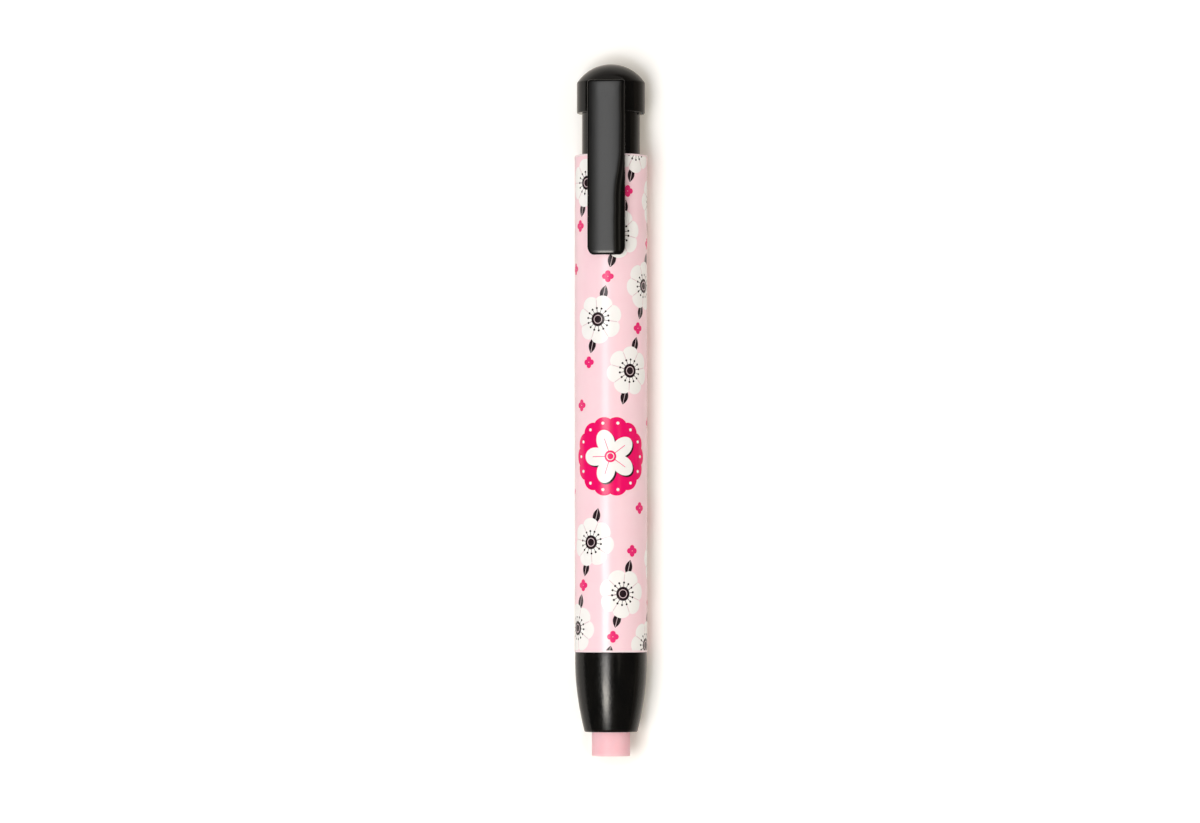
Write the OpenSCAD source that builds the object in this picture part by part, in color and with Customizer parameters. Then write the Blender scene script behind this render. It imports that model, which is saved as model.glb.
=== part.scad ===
// Push-button eraser stick: a pen-shaped holder that feeds a round eraser through a collet.
//
// Every piece is drawn round the pen's own axis: stations run along z from the rear end of the
// barrel (0) towards the eraser, and x points to the side that carries the pocket clip.
// in_pen_frame() then lays the pen down: +X towards the eraser, +Z on the clip's side, the
// barrel resting on Z = 0 and the middle of the whole length at X = 0. All sizes are in mm.

/* [Barrel] */
// Outer diameter of the printed barrel
barrel_d = 13.0; // [13:0.1:13.6]
// Length of the barrel, from its rear end to the nose cone
barrel_l = 88.8; // [84:0.1:110]
// Thickness of the printed film that lies flush in the barrel
film_t = 0.1; // [0.06:0.02:0.16]

/* [Push button] */
// Diameter of the neck that slides into the barrel
neck_d = 10.35; // [10.25:0.05:10.35]
// Length of neck that shows when the button is up
neck_show = 7.6; // [6:0.1:9]
// Travel of the button when it is pressed
button_stroke = 5.0; // [4:0.1:5]
// Diameter of the collar round the head of the button
collar_d = 12.2; // [12:0.1:12.6]
// Length of that collar
collar_l = 5.5; // [5:0.1:7]
// Height of the domed end cap
dome_h = 3.3; // [2.5:0.1:4]

/* [Pocket clip] */
// Width of the clip
clip_w = 6.7; // [5.5:0.1:7.2]
// Length of the clip, end to end
clip_l = 31.0; // [28:0.1:36]
// Height of the clip's face above the pen's axis
clip_top = 8.5; // [8.3:0.1:9]
// Thickness of the clip near its free end
clip_t = 1.3; // [1.1:0.1:1.4]

/* [Nose cone] */
// Length of the nose cone that shows
nose_l = 14.2; // [13:0.1:17]
// Diameter of the nose cone at the eraser
nose_tip_d = 9.4; // [9.2:0.1:10.5]

/* [Eraser] */
// Diameter of the eraser
eraser_d = 6.8; // [6.4:0.1:6.8]
// Length of a whole eraser
eraser_l = 75; // [60:1:75]
// Length of eraser that stands out of the nose cone
eraser_out = 4.3; // [1:0.1:6]

/* [Mechanism] */
// Distance that the clutch ring follows the collet before it stops
ring_stroke = 2.0; // [1.2:0.1:2]
// Turns in the return spring
spring_turns = 8; // [6:1:9]
// Wire diameter of the return spring
spring_wire = 0.5; // [0.4:0.05:0.5]

/* [Hidden] */
$fn = 96;

// Colours of the pieces
black_plastic = [0.06, 0.06, 0.06];
pale_pink = [0.99, 0.90, 0.92];
print_pink = [0.99, 0.79, 0.83];
eraser_pink = [0.98, 0.70, 0.74];
milky_plastic = [0.90, 0.90, 0.87];
brass = [0.80, 0.65, 0.32];
spring_steel = [0.70, 0.71, 0.73];
grey_rubber = [0.45, 0.45, 0.47];

// Clearances between neighbours
slide_gap = 0.075;
fit_gap = 0.05;
grip_gap = 0.03;
room = 0.1;

// Chamfers: a broken edge, and a lead-in where one piece is pushed into another
edge = 0.15;
lead_in = 0.3;

// Past a face, so that a cut goes right through it
through = 1;

// Radii of the feed, from the eraser outwards
eraser_r = eraser_d / 2;
grip_r = eraser_r + grip_gap;
feed_bore_r = eraser_r + 0.2;
stem_r = eraser_r + 0.6;
collet_head_r = stem_r + 0.4;
feed_r = stem_r + 0.15;
socket_r = stem_r + 0.6;
flange_r = stem_r + 1.0;
ring_r = collet_head_r + 0.25;
seat_r = collet_head_r - room;
spring_r = stem_r + 0.35 + spring_wire / 2;
skirt_r = spring_r + spring_wire / 2 + room;

// Radii of the casing
neck_r = neck_d / 2;
bore_r = neck_r + slide_gap;
front_bore_r = bore_r + 0.25;
plug_r = front_bore_r - fit_gap;
cap_bore_r = 4.4;
barrel_r = barrel_d / 2;
film_in_r = barrel_r - film_t;
collar_r = collar_d / 2;
nose_top_r = barrel_r - 0.08;
nose_tip_r = nose_tip_d / 2;

// Stations of the head, behind the barrel
collar_front = -neck_show;
collar_back = collar_front - collar_l;
dome_apex = collar_back - dome_h;

// Stations of the front end
band_l = 0.35;
nose_tip = barrel_l + nose_l;
eraser_tip = nose_tip + eraser_out;

// Stations of the mechanism, counted back from the front end of the barrel
bush_front = barrel_l - 5.4;
spring_front = bush_front - 4;
bush_back = spring_front - 2.4;
spring_back = spring_front - 12;
ring_l = 3;
ring_stop = bush_front + ring_l + ring_stroke + room;
head_chamber_end = ring_stop + 6.9;
retainer_l = 3;
retainer_end = head_chamber_end + retainer_l;
collet_back = spring_back - 8;
cone_back = bush_front + 0.6;
cone_l = 3;
collet_front = bush_front + 5.5;

// Stations of the plunger, inside the barrel's rear end
web_back = 10;
feed_back = 12;
plunger_front = 22;

// Middle of the whole pen, which lies at X = 0
mid_station = (eraser_tip + dome_apex) / 2;

// Lays a piece, drawn round the pen's axis, in the resting pen
module in_pen_frame() {
    multmatrix([
        [0, 0, 1, -mid_station],
        [0, -1, 0, 0],
        [1, 0, 0, barrel_r],
        [0, 0, 0, 1]
    ])
        children();
}

// Points on an arc from angle a0 to a1, with its first coordinate stretched
function arc(centre, r, a0, a1, steps, stretch = 1) = [
    for (i = [0 : steps])
        let (a = a0 + (a1 - a0) * i / steps)
            [centre[0] + stretch * r * cos(a), centre[1] + r * sin(a)]
];

// Rib on the neck and keyway in the barrel, which keep the clip on one side of the barrel
key_w = 1.2;
key_h = 0.45;
key_front = 5;
keyway_l = key_front + button_stroke + 1.5;

// Snap bead on the nose cone's plug and its groove in the barrel
bead_h = 0.14;
bead_at = bush_front + 2.6;
bead_half = 0.35;

// Barrel with a recess for the film, a keyway at the rear and a wider bore at the front
module barrel() {
    groove_half = bead_half + fit_gap;
    front_bore_back = bush_back - room;
    color(pale_pink)
        in_pen_frame()
            difference() {
                rotate_extrude()
                    polygon([
                        [bore_r + edge, 0],
                        [barrel_r - edge, 0],
                        [barrel_r, edge],
                        [barrel_r, band_l],
                        [film_in_r, band_l],
                        [film_in_r, barrel_l - band_l],
                        [barrel_r, barrel_l - band_l],
                        [barrel_r, barrel_l],
                        [front_bore_r, barrel_l],
                        [front_bore_r, bead_at + groove_half],
                        [front_bore_r + bead_h, bead_at + fit_gap],
                        [front_bore_r + bead_h, bead_at - fit_gap],
                        [front_bore_r, bead_at - groove_half],
                        [front_bore_r, front_bore_back],
                        [bore_r, front_bore_back],
                        [bore_r, edge]
                    ]);
                translate([0, -key_w / 2 - slide_gap, -through])
                    cube([neck_r + key_h + 2 * slide_gap, key_w + 2 * slide_gap, keyway_l + through]);
            }
}

// Printed film, flush with the plain bands at the barrel's two ends
module print_sleeve() {
    color(print_pink)
        in_pen_frame()
            translate([0, 0, band_l])
                difference() {
                    cylinder(r = barrel_r, h = barrel_l - 2 * band_l);
                    translate([0, 0, -through])
                        cylinder(r = film_in_r, h = barrel_l + through);
                }
}

// Outside of the nose cone: a short straight land, then one long arc down to the tip
nose_land = 1.0;
nose_drop = nose_top_r - nose_tip_r;
nose_run = nose_l - nose_land;
nose_arc_r = (nose_run * nose_run + nose_drop * nose_drop) / (2 * nose_drop);
nose_arc_end = asin(nose_run / nose_arc_r);
nose_rim = 0.3;

// Nose cone: plug with a snap bead, ring chamber, collet chamber, retainer seat and eraser bore
module nose_cone() {
    mouth_r = eraser_r + room;
    chamber_r = ring_r + room;
    head_room_r = collet_head_r + room;
    plug_back = bush_front;
    outside = arc(
        [nose_top_r - nose_arc_r, barrel_l + nose_land], nose_arc_r,
        0, nose_arc_end * (1 - nose_rim / nose_run), 20
    );
    rim = arc([nose_tip_r - nose_rim, nose_tip - nose_rim], nose_rim, 20, 90, 4);
    color(black_plastic)
        in_pen_frame()
            rotate_extrude()
                polygon(concat(
                    [
                        [chamber_r, plug_back],
                        [plug_r - edge, plug_back],
                        [plug_r, plug_back + edge],
                        [plug_r, bead_at - bead_half],
                        [plug_r + bead_h, bead_at],
                        [plug_r, bead_at + bead_half],
                        [plug_r, barrel_l],
                        [nose_top_r, barrel_l]
                    ],
                    outside,
                    rim,
                    [
                        [mouth_r + lead_in, nose_tip],
                        [mouth_r, nose_tip - lead_in],
                        [mouth_r, retainer_end],
                        [seat_r, retainer_end],
                        [seat_r, head_chamber_end],
                        [head_room_r, head_chamber_end - edge],
                        [head_room_r, ring_stop],
                        [chamber_r, ring_stop]
                    ]
                ));
}

// Soft ring in the nose that holds the eraser while the collet is open
module retainer() {
    lips = 3;
    lip_h = 0.35;
    back = head_chamber_end + fit_gap;
    pitch = (retainer_l - 2 * fit_gap) / lips;
    lip_profile = [
        for (i = [lips - 1 : -1 : 0])
            each [
                [grip_r + lip_h, back + pitch * (i + 1)],
                [grip_r, back + pitch * (i + 0.65)],
                [grip_r, back + pitch * (i + 0.35)]
            ]
    ];
    color(grey_rubber)
        in_pen_frame()
            rotate_extrude()
                polygon(concat(
                    [
                        [grip_r + lip_h, back],
                        [seat_r, back],
                        [seat_r, back + pitch * lips]
                    ],
                    lip_profile
                ));
}

// Bush that seats the spring behind it and the clutch ring in front of it
module seat_bush() {
    color(milky_plastic)
        in_pen_frame()
            rotate_extrude()
                polygon([
                    [skirt_r + edge, bush_back],
                    [plug_r - edge, bush_back],
                    [plug_r, bush_back + edge],
                    [plug_r, bush_front],
                    [stem_r + room, bush_front],
                    [stem_r + room, spring_front],
                    [skirt_r, spring_front],
                    [skirt_r, bush_back + edge]
                ]);
}

// Height along the spring at a turn count t: one closed turn at each end, even pitch between
spring_slack = 0.02;
spring_l = spring_front - spring_back - 2 * spring_slack;
open_turns = spring_turns - 2;
spring_pitch = (spring_l - 3 * spring_wire) / open_turns;
function spring_rise(t) =
    t < 1 ? spring_wire * t
    : t < open_turns + 1 ? spring_wire + spring_pitch * (t - 1)
    : spring_pitch * open_turns + spring_wire * (t - open_turns);

// Return spring: round wire swept along the coil
module spring() {
    sides = 6;
    steps_per_turn = 20;
    steps = steps_per_turn * spring_turns;
    wire_r = spring_wire / 2;
    foot = spring_back + spring_slack + wire_r;
    points = [
        for (i = [0 : steps], j = [0 : sides - 1])
            let (
                turn = 360 * i / steps_per_turn,
                a = 360 * j / sides,
                r = spring_r + wire_r * cos(a),
                z = foot + spring_rise(i / steps_per_turn) + wire_r * sin(a)
            )
                [r * cos(turn), r * sin(turn), z]
    ];
    wall = [
        for (i = [0 : steps - 1], j = [0 : sides - 1])
            let (
                next = (j + 1) % sides,
                a = i * sides + j,
                b = i * sides + next,
                c = (i + 1) * sides + next,
                d = (i + 1) * sides + j
            )
                each [[a, b, c], [a, c, d]]
    ];
    first_end = [[for (j = [sides - 1 : -1 : 0]) j]];
    last_end = [[for (j = [0 : sides - 1]) steps * sides + j]];
    color(spring_steel)
        in_pen_frame()
            polyhedron(points, concat(wall, first_end, last_end));
}

// Radius of the collet's cone at a station
function cone_r(z) = stem_r + (collet_head_r - stem_r) * (z - cone_back) / cone_l;

// Clutch ring that squeezes the collet shut when the spring draws it back
module clutch_ring() {
    ring_back = bush_front;
    ring_front = bush_front + ring_l;
    color(brass)
        in_pen_frame()
            rotate_extrude()
                polygon([
                    [stem_r + fit_gap, ring_back],
                    [ring_r - edge, ring_back],
                    [ring_r, ring_back + edge],
                    [ring_r, ring_front - edge],
                    [ring_r - edge, ring_front],
                    [cone_r(ring_front) + fit_gap, ring_front],
                    [stem_r + fit_gap, cone_back]
                ]);
}

// Collet: a tail held in the feed tube and three slotted jaws with gripping ridges
module collet() {
    jaws = 3;
    slot_w = 0.8;
    slot_back = spring_back + 4;
    slot_hole_r = 0.6;
    ridges = 5;
    ridge_pitch = 1.1;
    ridge_h = 0.12;
    grip_front = collet_front - lead_in;
    ridge_profile = [
        for (i = [0 : ridges - 1])
            let (z = grip_front - ridge_pitch * i)
                each [
                    [grip_r, z],
                    [grip_r, z - ridge_pitch * 0.4],
                    [grip_r + ridge_h, z - ridge_pitch * 0.6],
                    [grip_r + ridge_h, z - ridge_pitch * 0.8]
                ]
    ];
    color(milky_plastic)
        in_pen_frame()
            difference() {
                rotate_extrude()
                    polygon(concat(
                        [
                            [feed_bore_r, collet_back],
                            [stem_r - edge, collet_back],
                            [stem_r, collet_back + edge],
                            [stem_r, cone_back],
                            [collet_head_r, cone_back + cone_l],
                            [collet_head_r, collet_front - lead_in],
                            [collet_head_r - lead_in, collet_front],
                            [grip_r + edge, collet_front]
                        ],
                        ridge_profile,
                        [[feed_bore_r, grip_front - ridge_pitch * (ridges + 0.5)]]
                    ));
                for (i = [0 : jaws - 1])
                    rotate([0, 0, 60 + 360 / jaws * i]) {
                        translate([0, -slot_w / 2, slot_back])
                            cube([flange_r, slot_w, collet_front - slot_back + through]);
                        translate([0, 0, slot_back])
                            rotate([0, 90, 0])
                                cylinder(r = slot_hole_r, h = flange_r, $fn = 32);
                    }
            }
}

// Feed tube that carries the eraser's length, with the spring's moving seat on its front end
module feed_tube() {
    flange_t = 1.2;
    taper_l = 1.5;
    color(milky_plastic)
        in_pen_frame()
            rotate_extrude()
                polygon([
                    [feed_bore_r, feed_back],
                    [feed_r - edge, feed_back],
                    [feed_r, feed_back + edge],
                    [feed_r, collet_back - taper_l],
                    [socket_r, collet_back],
                    [socket_r, spring_back - flange_t - lead_in],
                    [flange_r, spring_back - flange_t],
                    [flange_r, spring_back],
                    [stem_r, spring_back],
                    [stem_r, collet_back],
                    [feed_bore_r, collet_back]
                ]);
}

// Plunger: the neck that shows, its guide inside the barrel and the socket for the feed tube
module plunger() {
    web_r = feed_bore_r + room;
    color(black_plastic)
        in_pen_frame()
            union() {
                rotate_extrude()
                    polygon([
                        [cap_bore_r, collar_back],
                        [neck_r, collar_back],
                        [neck_r, plunger_front - lead_in],
                        [neck_r - lead_in, plunger_front],
                        [feed_r, plunger_front],
                        [feed_r, feed_back],
                        [web_r, feed_back],
                        [web_r, web_back],
                        [cap_bore_r, web_back - 2 * lead_in]
                    ]);
                translate([neck_r - lead_in, -key_w / 2, collar_front])
                    cube([lead_in + key_h, key_w, key_front - collar_front]);
            }
}

// Foot of the clip, and the gap round it in the collar's slot
foot_w = 4.2;
foot_l = 2.0;
foot_back = collar_back + 0.8;
foot_low = neck_r + 0.125;
foot_high = foot_low + 0.32;
shank_w = 2.6;
slot_gap = 0.12;

// Collar round the head of the button, with an undercut slot for the clip's foot
module head_collar() {
    slot_l = foot_back + foot_l + slot_gap - collar_back;
    groove_w = foot_w + 2 * slot_gap;
    mouth_w = shank_w + 2 * slot_gap;
    color(black_plastic)
        in_pen_frame()
            difference() {
                rotate_extrude()
                    polygon([
                        [neck_r, collar_back],
                        [collar_r, collar_back],
                        [collar_r, collar_front - edge],
                        [collar_r - edge, collar_front],
                        [neck_r, collar_front]
                    ]);
                translate([0, -groove_w / 2, collar_back - through])
                    cube([foot_high + slot_gap, groove_w, slot_l + through]);
                translate([0, -mouth_w / 2, collar_back - through])
                    cube([collar_r + through, mouth_w, slot_l + through]);
            }
}

// Domed end cap with a hollow plug that closes the plunger
module end_cap() {
    foot_r = collar_r - 0.03;
    dome_r = (foot_r * foot_r + dome_h * dome_h) / (2 * dome_h);
    half_angle = asin(foot_r / dome_r);
    plug_l = 4;
    plug_in_r = cap_bore_r - 1;
    floor_t = 0.5;
    color(black_plastic)
        in_pen_frame()
            rotate_extrude()
                polygon(concat(
                    arc([0, dome_apex + dome_r], dome_r, -90, -90 + half_angle, 18),
                    [
                        [cap_bore_r, collar_back],
                        [cap_bore_r, collar_back + plug_l - lead_in],
                        [cap_bore_r - lead_in, collar_back + plug_l],
                        [plug_in_r, collar_back + plug_l],
                        [plug_in_r, collar_back + floor_t],
                        [0, collar_back + floor_t]
                    ]
                ));
}

// Stations of the clip's two ends and of its contact pad, and the height of its underside
clip_back = collar_back + 0.15;
clip_end = clip_back + clip_l;
pad_at = clip_end - 3;
arm_low = collar_r + 0.3;

// Side view of the clip: foot, shank, an arm that thins towards the free end, and contact pad
module clip_side() {
    root_round = 0.7;
    end_round = 0.4;
    foot_front = foot_back + foot_l;
    arm_step = arm_low + 0.3;
    end_low = clip_top - clip_t;
    pad_low = barrel_r + slot_gap;
    pad_half = 0.4;
    pad_slope = 1.4;
    polygon(concat(
        arc([clip_top - root_round, clip_back + root_round], root_round, -90, 0, 6),
        arc([clip_top - end_round, clip_end - end_round], end_round, 0, 90, 5),
        [
            [end_low + edge, clip_end],
            [end_low, clip_end - edge],
            [end_low, pad_at + pad_half + pad_slope],
            [pad_low, pad_at + pad_half],
            [pad_low, pad_at - pad_half],
            [end_low, pad_at - pad_half - pad_slope],
            [arm_step, collar_front],
            [arm_low, foot_front + 2 * lead_in],
            [arm_low, foot_front],
            [foot_low, foot_front],
            [foot_low, foot_back],
            [arm_low, foot_back],
            [arm_low, clip_back + lead_in],
            [arm_low + lead_in, clip_back]
        ]
    ));
}

// Outline of the clip seen from above: a nearly square root and rounded corners at the free end
module clip_plan() {
    half = clip_w / 2;
    root_corner = 0.4;
    end_corner = 1.1;
    end_stretch = 1.5;
    end_at = clip_end - end_stretch * end_corner;
    polygon(concat(
        arc([end_at, end_corner - half], end_corner, -90, 0, 8, end_stretch),
        arc([end_at, half - end_corner], end_corner, 0, 90, 8, end_stretch),
        arc([clip_back + root_corner, half - root_corner], root_corner, 90, 180, 4),
        arc([clip_back + root_corner, root_corner - half], root_corner, 180, 270, 4)
    ));
}

// Room on both sides of a part of the clip of a given width, between two heights
module beside(width, low, high) {
    for (y = [width / 2, -width / 2 - clip_w])
        translate([low, y, clip_back - through])
            cube([high - low, clip_w, clip_l + 2 * through]);
}

// Pocket clip: the side view, cut to the plan outline, the crown, and the narrow shank and foot
module pocket_clip() {
    crown_r = 20;
    color(black_plastic)
        in_pen_frame()
            difference() {
                intersection() {
                    translate([0, clip_w, 0])
                        rotate([90, 0, 0])
                            linear_extrude(2 * clip_w)
                                clip_side();
                    multmatrix([[0, 0, 1, 0], [0, 1, 0, 0], [1, 0, 0, 0], [0, 0, 0, 1]])
                        linear_extrude(clip_top)
                            clip_plan();
                    translate([clip_top - crown_r, 0, clip_back - through])
                        cylinder(r = crown_r, h = clip_l + 2 * through);
                }
                beside(foot_w, 0, foot_high);
                beside(shank_w, foot_high, arm_low);
            }
}

// Eraser: a plain round stick with a softened front edge
module eraser() {
    soft_edge = 0.3;
    back = eraser_tip - eraser_l;
    color(eraser_pink)
        in_pen_frame()
            rotate_extrude()
                polygon(concat(
                    [[0, back], [eraser_r, back]],
                    arc([eraser_r - soft_edge, eraser_tip - soft_edge], soft_edge, 0, 90, 5),
                    [[0, eraser_tip]]
                ));
}

barrel();
print_sleeve();
nose_cone();
retainer();
seat_bush();
spring();
clutch_ring();
collet();
feed_tube();
plunger();
head_collar();
end_cap();
pocket_clip();
eraser();
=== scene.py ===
"""Push-button eraser stick: its looks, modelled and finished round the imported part.

Lengths in the classes are millimetres and are turned to metres where a mesh is made. Stations
count along the pen from the rear end of the barrel (0) towards the eraser. The pen lies along X
with its axis 6.5 mm above the floor, and its pocket clip is on top, on the +Z side.
"""

import logging
import math
from collections.abc import Callable, Iterator, Sequence
from contextlib import contextmanager
from dataclasses import dataclass
from enum import Enum
from functools import cached_property

import bmesh
import bpy
from mathutils import Matrix, Vector


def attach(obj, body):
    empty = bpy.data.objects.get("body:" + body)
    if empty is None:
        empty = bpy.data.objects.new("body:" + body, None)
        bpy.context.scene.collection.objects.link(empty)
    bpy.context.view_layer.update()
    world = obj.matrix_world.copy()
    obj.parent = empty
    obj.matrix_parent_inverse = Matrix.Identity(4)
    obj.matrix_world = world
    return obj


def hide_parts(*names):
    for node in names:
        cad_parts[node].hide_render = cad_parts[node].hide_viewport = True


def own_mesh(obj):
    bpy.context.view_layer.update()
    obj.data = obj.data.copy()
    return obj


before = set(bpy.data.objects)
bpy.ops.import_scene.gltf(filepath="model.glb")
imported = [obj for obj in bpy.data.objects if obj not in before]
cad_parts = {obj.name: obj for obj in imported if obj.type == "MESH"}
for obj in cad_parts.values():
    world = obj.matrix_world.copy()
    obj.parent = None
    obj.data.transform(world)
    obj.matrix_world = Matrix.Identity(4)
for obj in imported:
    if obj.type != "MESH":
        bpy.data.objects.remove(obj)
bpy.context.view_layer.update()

log = logging.getLogger("eraser_stick")

MM = 0.001
AXIS_HEIGHT = 6.5
MIDDLE_STATION = 45.45
BARREL_RADIUS = 6.5
ERASER_RADIUS = 3.4
ERASER_TIP = 107.3

# Colours of the studio's lights.
WHITE = (1.0, 1.0, 1.0)
PALE_AMBER = (1.0, 0.96, 0.9)
AMBER = (1.0, 0.92, 0.78)
PEACH = (1.0, 0.78, 0.55)

# Values that a noise lies between: almost all of it, its main part and its core.
NOISE_WHOLE = (0.3, 0.7)
NOISE_MAIN = (0.35, 0.65)
NOISE_CORE = (0.38, 0.62)

# Half the width of a printed outline's soft edge, in mm, and a distance that hides a motif.
PRINT_EDGE = 0.025
OUT_OF_SIGHT = 9.0

Point = tuple[float, float]
Triple = tuple[float, float, float]
Colour = tuple[float, float, float, float]
Socket = bpy.types.NodeSocket

# What the input of a shader node takes.
Fed = "Signal | Socket | Colour | Triple | float"


class Body(Enum):
    """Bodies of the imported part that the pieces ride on."""

    BARREL = "barrel"
    BUTTON = "push_button"
    CLIP = "clip"
    ERASER = "eraser"


class Slot(Enum):
    """Material slots of the record."""

    BARREL_PLASTIC = "barrel_plastic"
    PRINT_FILM = "print_film"
    BLACK_PLASTIC = "black_plastic"
    MILKY_PLASTIC = "milky_plastic"
    BRASS = "brass"
    SPRING_STEEL = "spring_steel"
    RETAINER_RUBBER = "retainer_rubber"
    ERASER_VINYL = "eraser_vinyl"


class Join(Enum):
    """Ways to combine a piece with a tool shape."""

    ADD = "UNION"
    CUT = "DIFFERENCE"


def srgb(red: float, green: float, blue: float) -> Colour:
    """Turns display values into the linear colour that a shader takes.

    Args:
        red: Red, 0 to 255.
        green: Green, 0 to 255.
        blue: Blue, 0 to 255.

    Returns:
        Linear red, green and blue, and an alpha of 1.
    """
    linear = []
    for value in (red, green, blue):
        part = value / 255
        linear.append(part / 12.92 if part <= 0.04045 else ((part + 0.055) / 1.055) ** 2.4)
    return (linear[0], linear[1], linear[2], 1.0)


# Modelling


class Workshop:
    """Blender's modelling tools, each used on one piece at a time.

    Attributes:
        near: Distance under which two places count as the same, in m.
        doubles: Distance under which two vertices are merged, in m.
        bevel_steps: Faces across the bevel of a block.
    """

    near = 1e-6
    doubles = 1e-7
    bevel_steps = 3

    @staticmethod
    def put_down() -> None:
        """Leaves edit mode and selects nothing."""
        if bpy.context.object and bpy.context.object.mode != "OBJECT":
            bpy.ops.object.mode_set(mode="OBJECT")
        bpy.ops.object.select_all(action="DESELECT")

    @staticmethod
    def take(piece: bpy.types.Object) -> None:
        """Makes a piece the only selected object and the active one.

        Args:
            piece: The object to work on.
        """
        Workshop.put_down()
        piece.select_set(True)
        bpy.context.view_layer.objects.active = piece

    @staticmethod
    @contextmanager
    def editing(piece: bpy.types.Object) -> Iterator[None]:
        """Opens a piece in edit mode with nothing selected, and closes it again.

        Args:
            piece: The mesh object to edit.

        Yields:
            Nothing; the body of the with statement runs in edit mode.
        """
        Workshop.take(piece)
        bpy.ops.object.mode_set(mode="EDIT")
        bpy.ops.mesh.select_mode(type="VERT")
        bpy.ops.mesh.select_all(action="DESELECT")
        yield
        bpy.ops.object.mode_set(mode="OBJECT")

    @staticmethod
    def pick(piece: bpy.types.Object, test: Callable[[Vector], bool]) -> None:
        """Selects the vertices whose place passes a test, and the edges between them.

        Args:
            piece: The object in edit mode.
            test: Says whether a vertex at a place, in metres, is picked.
        """
        shape = bmesh.from_edit_mesh(piece.data)
        for vertex in shape.verts:
            vertex.select = test(vertex.co)
        shape.select_flush_mode()
        bmesh.update_edit_mesh(piece.data)

    @staticmethod
    def move(piece: bpy.types.Object, place: Callable[[Vector], Vector]) -> None:
        """Moves each vertex to the place that a rule gives.

        Args:
            piece: The object in edit mode.
            place: Gives a vertex's new place from its old one, in metres.
        """
        shape = bmesh.from_edit_mesh(piece.data)
        for vertex in shape.verts:
            vertex.co = place(vertex.co.copy())
        bmesh.update_edit_mesh(piece.data)

    @staticmethod
    def added(name: str) -> bpy.types.Object:
        """Names the primitive just added and puts its place into its mesh.

        Args:
            name: Name for the object and its mesh.

        Returns:
            The object, at the origin and unturned.
        """
        piece = bpy.context.object
        piece.name = name
        piece.data.name = name
        bpy.ops.object.transform_apply(location=True, rotation=True, scale=True)
        return piece

    @staticmethod
    def close_up(piece: bpy.types.Object, smooth_below: float = 35.0) -> None:
        """Merges doubles, turns the faces outwards and smooths the shading.

        Args:
            piece: The object to finish.
            smooth_below: Edges flatter than this angle, in degrees, are shaded smooth.
        """
        with Workshop.editing(piece):
            bpy.ops.mesh.select_all(action="SELECT")
            bpy.ops.mesh.remove_doubles(threshold=Workshop.doubles)
            bpy.ops.mesh.normals_make_consistent(inside=False)
        bpy.ops.object.shade_smooth_by_angle(angle=math.radians(smooth_below))

    @staticmethod
    def block(name: str, low: Triple, high: Triple, edge: float = 0.0) -> bpy.types.Object:
        """Makes a box with softened edges.

        Args:
            name: Name of the object.
            low: Lowest corner: station, side, and height above the axis, in mm.
            high: Highest corner, likewise.
            edge: Width of the bevel along its edges, in mm; 0 leaves them sharp.

        Returns:
            The box.
        """
        Workshop.put_down()
        shift = Vector((-MIDDLE_STATION, 0, AXIS_HEIGHT))
        corner, size = Vector(low) + shift, Vector(high) - Vector(low)
        middle = (corner + size / 2) * MM
        bpy.ops.mesh.primitive_cube_add(size=1, location=middle, scale=size * MM)
        piece = Workshop.added(name)
        if edge:
            with Workshop.editing(piece):
                bpy.ops.mesh.select_all(action="SELECT")
                steps = Workshop.bevel_steps
                bpy.ops.mesh.bevel(offset=edge * MM, segments=steps, affect="EDGES")
        return piece

    @staticmethod
    def combine(piece: bpy.types.Object, tool: bpy.types.Object, how: Join) -> None:
        """Adds a tool shape to a piece or cuts it away, and throws the tool shape away.

        Args:
            piece: The piece that is changed.
            tool: The shape to add or cut.
            how: Whether it is added or cut.
        """
        Workshop.take(piece)
        boolean = piece.modifiers.new("combine", "BOOLEAN")
        boolean.operation = how.value
        boolean.solver = "EXACT"
        boolean.object = tool
        bpy.ops.object.modifier_apply(modifier=boolean.name)
        bpy.data.meshes.remove(tool.data)


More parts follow.
